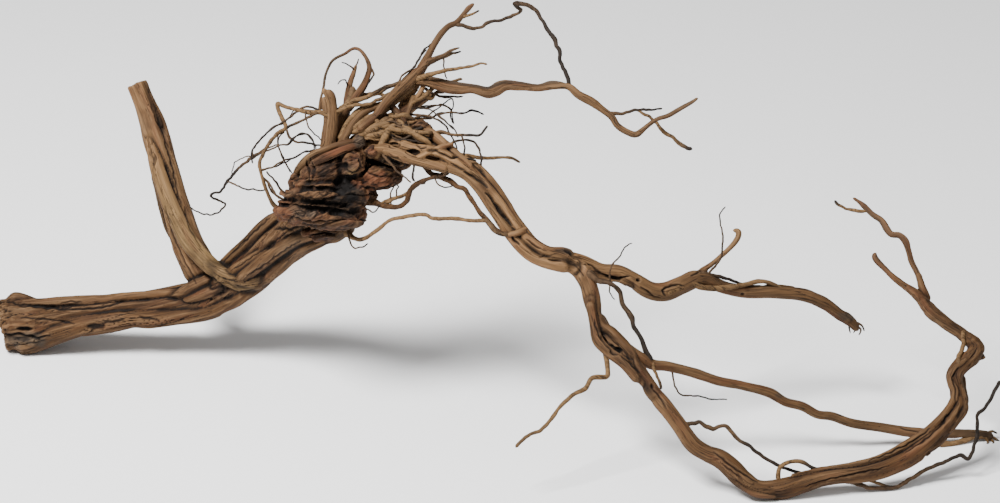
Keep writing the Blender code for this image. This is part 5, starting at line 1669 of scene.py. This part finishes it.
class Shading:
    """Adds shader nodes to a material, one call each."""

    def __init__(self, name):
        self.material = bpy.data.materials.new(name)
        self.material.use_nodes = True
        self.tree = self.material.node_tree
        self.shader = self.tree.nodes["Principled BSDF"]

    def node(self, kind, settings=None, **inputs):
        made = self.tree.nodes.new(kind)
        for key, value in (settings or {}).items():
            setattr(made, key, value)
        for key, value in inputs.items():
            socket = made.inputs[int(key[1:])] if key[1:].isdigit() else made.inputs[key.replace("_", " ")]
            if isinstance(value, bpy.types.NodeSocket):
                self.tree.links.new(value, socket)
            else:
                socket.default_value = value
        return made

    def attribute(self, name, output):
        return self.node("ShaderNodeAttribute", {"attribute_name": name}).outputs[output]

    def maths(self, operation, one, two=0.0):
        return self.node("ShaderNodeMath", {"operation": operation}, i0=one, i1=two).outputs[0]

    def remap(self, value, low, high, new_low=0.0, new_high=1.0):
        made = self.node("ShaderNodeMapRange", {"interpolation_type": "SMOOTHSTEP"}, i0=value, i1=low,
                         i2=high, i3=new_low, i4=new_high)
        return made.outputs[0]

    def mix(self, share, one, two, blend="MIX"):
        made = self.node("ShaderNodeMix", {"data_type": "RGBA", "blend_type": blend})
        for index, value in ((0, share), (6, one), (7, two)):
            if isinstance(value, bpy.types.NodeSocket):
                self.tree.links.new(value, made.inputs[index])
            else:
                made.inputs[index].default_value = value
        return made.outputs[2]

    def stretched(self, vector, width, length, detail=3.0, shift=0.0):
        """Noise about width across the grain and length along it, in millimetres."""
        scaled = self.node("ShaderNodeVectorMath", {"operation": "MULTIPLY"}, i0=vector,
                           i1=(1000 / width, 1000 / width, 1000 / length)).outputs[0]
        moved = self.node("ShaderNodeVectorMath", {"operation": "ADD"}, i0=scaled, i1=(shift, shift, shift))
        made = self.node("ShaderNodeTexNoise", i2=1.0, i3=detail, i4=0.55)
        self.tree.links.new(moved.outputs[0], made.inputs["Vector"])
        return made.outputs[0]


def wood_material(name, pores):
    """Dry root wood: fibres, streaks, hairline splits and pores, over the colours kept on the skin, with
    painted shade in the splits, in the pores and where the skin carries it.
    """
    shading = Shading(name)
    grain = shading.attribute("grain", "Vector")
    tint = shading.attribute("tint", "Color")
    dark = shading.attribute("dark", "Fac")
    fibre = shading.stretched(grain, *SHADED_FIBRES)
    streak = shading.stretched(grain, *SHADED_STREAKS)
    hairline = shading.stretched(grain, *HAIRLINES)
    off_middle = shading.maths("ABSOLUTE", shading.maths("SUBTRACT", hairline, 0.5))
    line = shading.remap(off_middle, 0.006, 0.026, 1.0, 0.0)
    where_lines = shading.remap(shading.stretched(grain, *HAIRLINE_PLACES), 0.42, 0.58)
    line = shading.maths("MULTIPLY", line, where_lines)

    brightness = shading.maths("ADD", shading.remap(fibre, 0.28, 0.72, 0.74, 1.24),
                               shading.remap(streak, 0.3, 0.7, -0.18, 0.18))
    grey = shading.node("ShaderNodeCombineColor", i0=brightness, i1=brightness, i2=brightness).outputs[0]
    colour = shading.mix(1.0, tint, grey, "MULTIPLY")
    # Painted shade in the hairline splits.
    colour = shading.mix(shading.maths("MULTIPLY", line, 0.75), colour, (*COLOURS["crevice_shade"], 1))
    if pores:
        dots = shading.node("ShaderNodeTexVoronoi", {"feature": "F1"}, Scale=1.0)
        spread = shading.node("ShaderNodeVectorMath", {"operation": "MULTIPLY"}, i0=grain,
                              i1=tuple(1000 / spacing for spacing in PORE_SPACING)).outputs[0]
        shading.tree.links.new(spread, dots.inputs["Vector"])
        pore = shading.remap(dots.outputs["Distance"], 0.07, 0.13, 1.0, 0.0)
        where_pores = shading.remap(shading.stretched(grain, *PORE_PLACES), 0.5, 0.6)
        pore = shading.maths("MULTIPLY", pore, where_pores)
        # Painted shade in the pores.
        colour = shading.mix(shading.maths("MULTIPLY", pore, 0.8), colour, (*COLOURS["crevice_shade"], 1))
        line = shading.maths("MAXIMUM", line, pore)
    # The painted shade that the skin carries.
    colour = shading.mix(dark, colour, (*COLOURS["crevice_shade"], 1))
    shading.tree.links.new(colour, shading.shader.inputs["Base Color"])
    shading.shader.inputs["Roughness"].default_value = ROUGHNESS
    shading.shader.inputs["Specular IOR Level"].default_value = SHEEN

    high_fibre, high_streak = shading.maths("MULTIPLY", fibre, 0.6), shading.maths("MULTIPLY", streak, 0.5)
    height = shading.maths("ADD", high_fibre, high_streak)
    height = shading.maths("SUBTRACT", height, shading.maths("MULTIPLY", line, 0.6))
    bump = shading.node("ShaderNodeBump", Strength=0.8, Distance=BUMP_HEIGHT, Height=height)
    shading.tree.links.new(bump.outputs[0], shading.shader.inputs["Normal"])
    return shading.material


def add_camera():
    """The photograph's view: square to the leaning sheet, with the whole sheet in the frame."""
    data = bpy.data.cameras.new("camera")
    data.sensor_width = 36
    data.lens = data.sensor_width * SIGHT_DISTANCE / OVERALL_LENGTH
    camera = bpy.data.objects.new("camera", data)
    bpy.context.collection.objects.link(camera)
    camera.location = Vector(SHEET_MIDDLE - SIGHT_DISTANCE * SHEET_BACK + CAMERA_OFFSET * UNIT * SHEET_UP)
    camera.location.x -= CAMERA_OFFSET * UNIT
    camera.rotation_euler = (math.pi / 2 - LEAN, 0, 0)
    bpy.context.scene.camera = camera


def add_light(name, location, size, watts):
    """A large soft lamp that points at the wood."""
    data = bpy.data.lights.new(name, "AREA")
    data.shape = "SQUARE"
    data.size = size
    data.energy = watts
    lamp = bpy.data.objects.new(name, data)
    bpy.context.collection.objects.link(lamp)
    lamp.location = location
    towards = Vector(SHEET_MIDDLE) - Vector(location)
    lamp.rotation_euler = towards.to_track_quat("-Z", "Y").to_euler()


def add_surroundings():
    """A pale floor, soft lamps and a pale world."""
    world = bpy.data.worlds.new("studio")
    world.use_nodes = True
    world.node_tree.nodes["Background"].inputs["Color"].default_value = (1, 1, 1, 1)
    world.node_tree.nodes["Background"].inputs["Strength"].default_value = WORLD_STRENGTH
    bpy.context.scene.world = world
    for lamp in LAMPS:
        add_light(*lamp)
    corners = [(FLOOR_HALF * x, FLOOR_HALF * y, 0) for x, y in ((-1, -1), (1, -1), (1, 1), (-1, 1))]
    mesh = bpy.data.meshes.new("floor")
    mesh.from_pydata(corners, [], [(0, 1, 2, 3)])
    floor = bpy.data.objects.new("floor", mesh)
    floor.location.z = -FLOOR_DROP
    bpy.context.collection.objects.link(floor)
    shading = Shading("floor")
    shading.shader.inputs["Base Color"].default_value = FLOOR_COLOUR
    shading.shader.inputs["Roughness"].default_value = FLOOR_ROUGHNESS
    mesh.materials.append(shading.material)


add_camera()
add_surroundings()
make_skins(wood_material("wood", True))
make_rootlets(wood_material("root_bark", False))
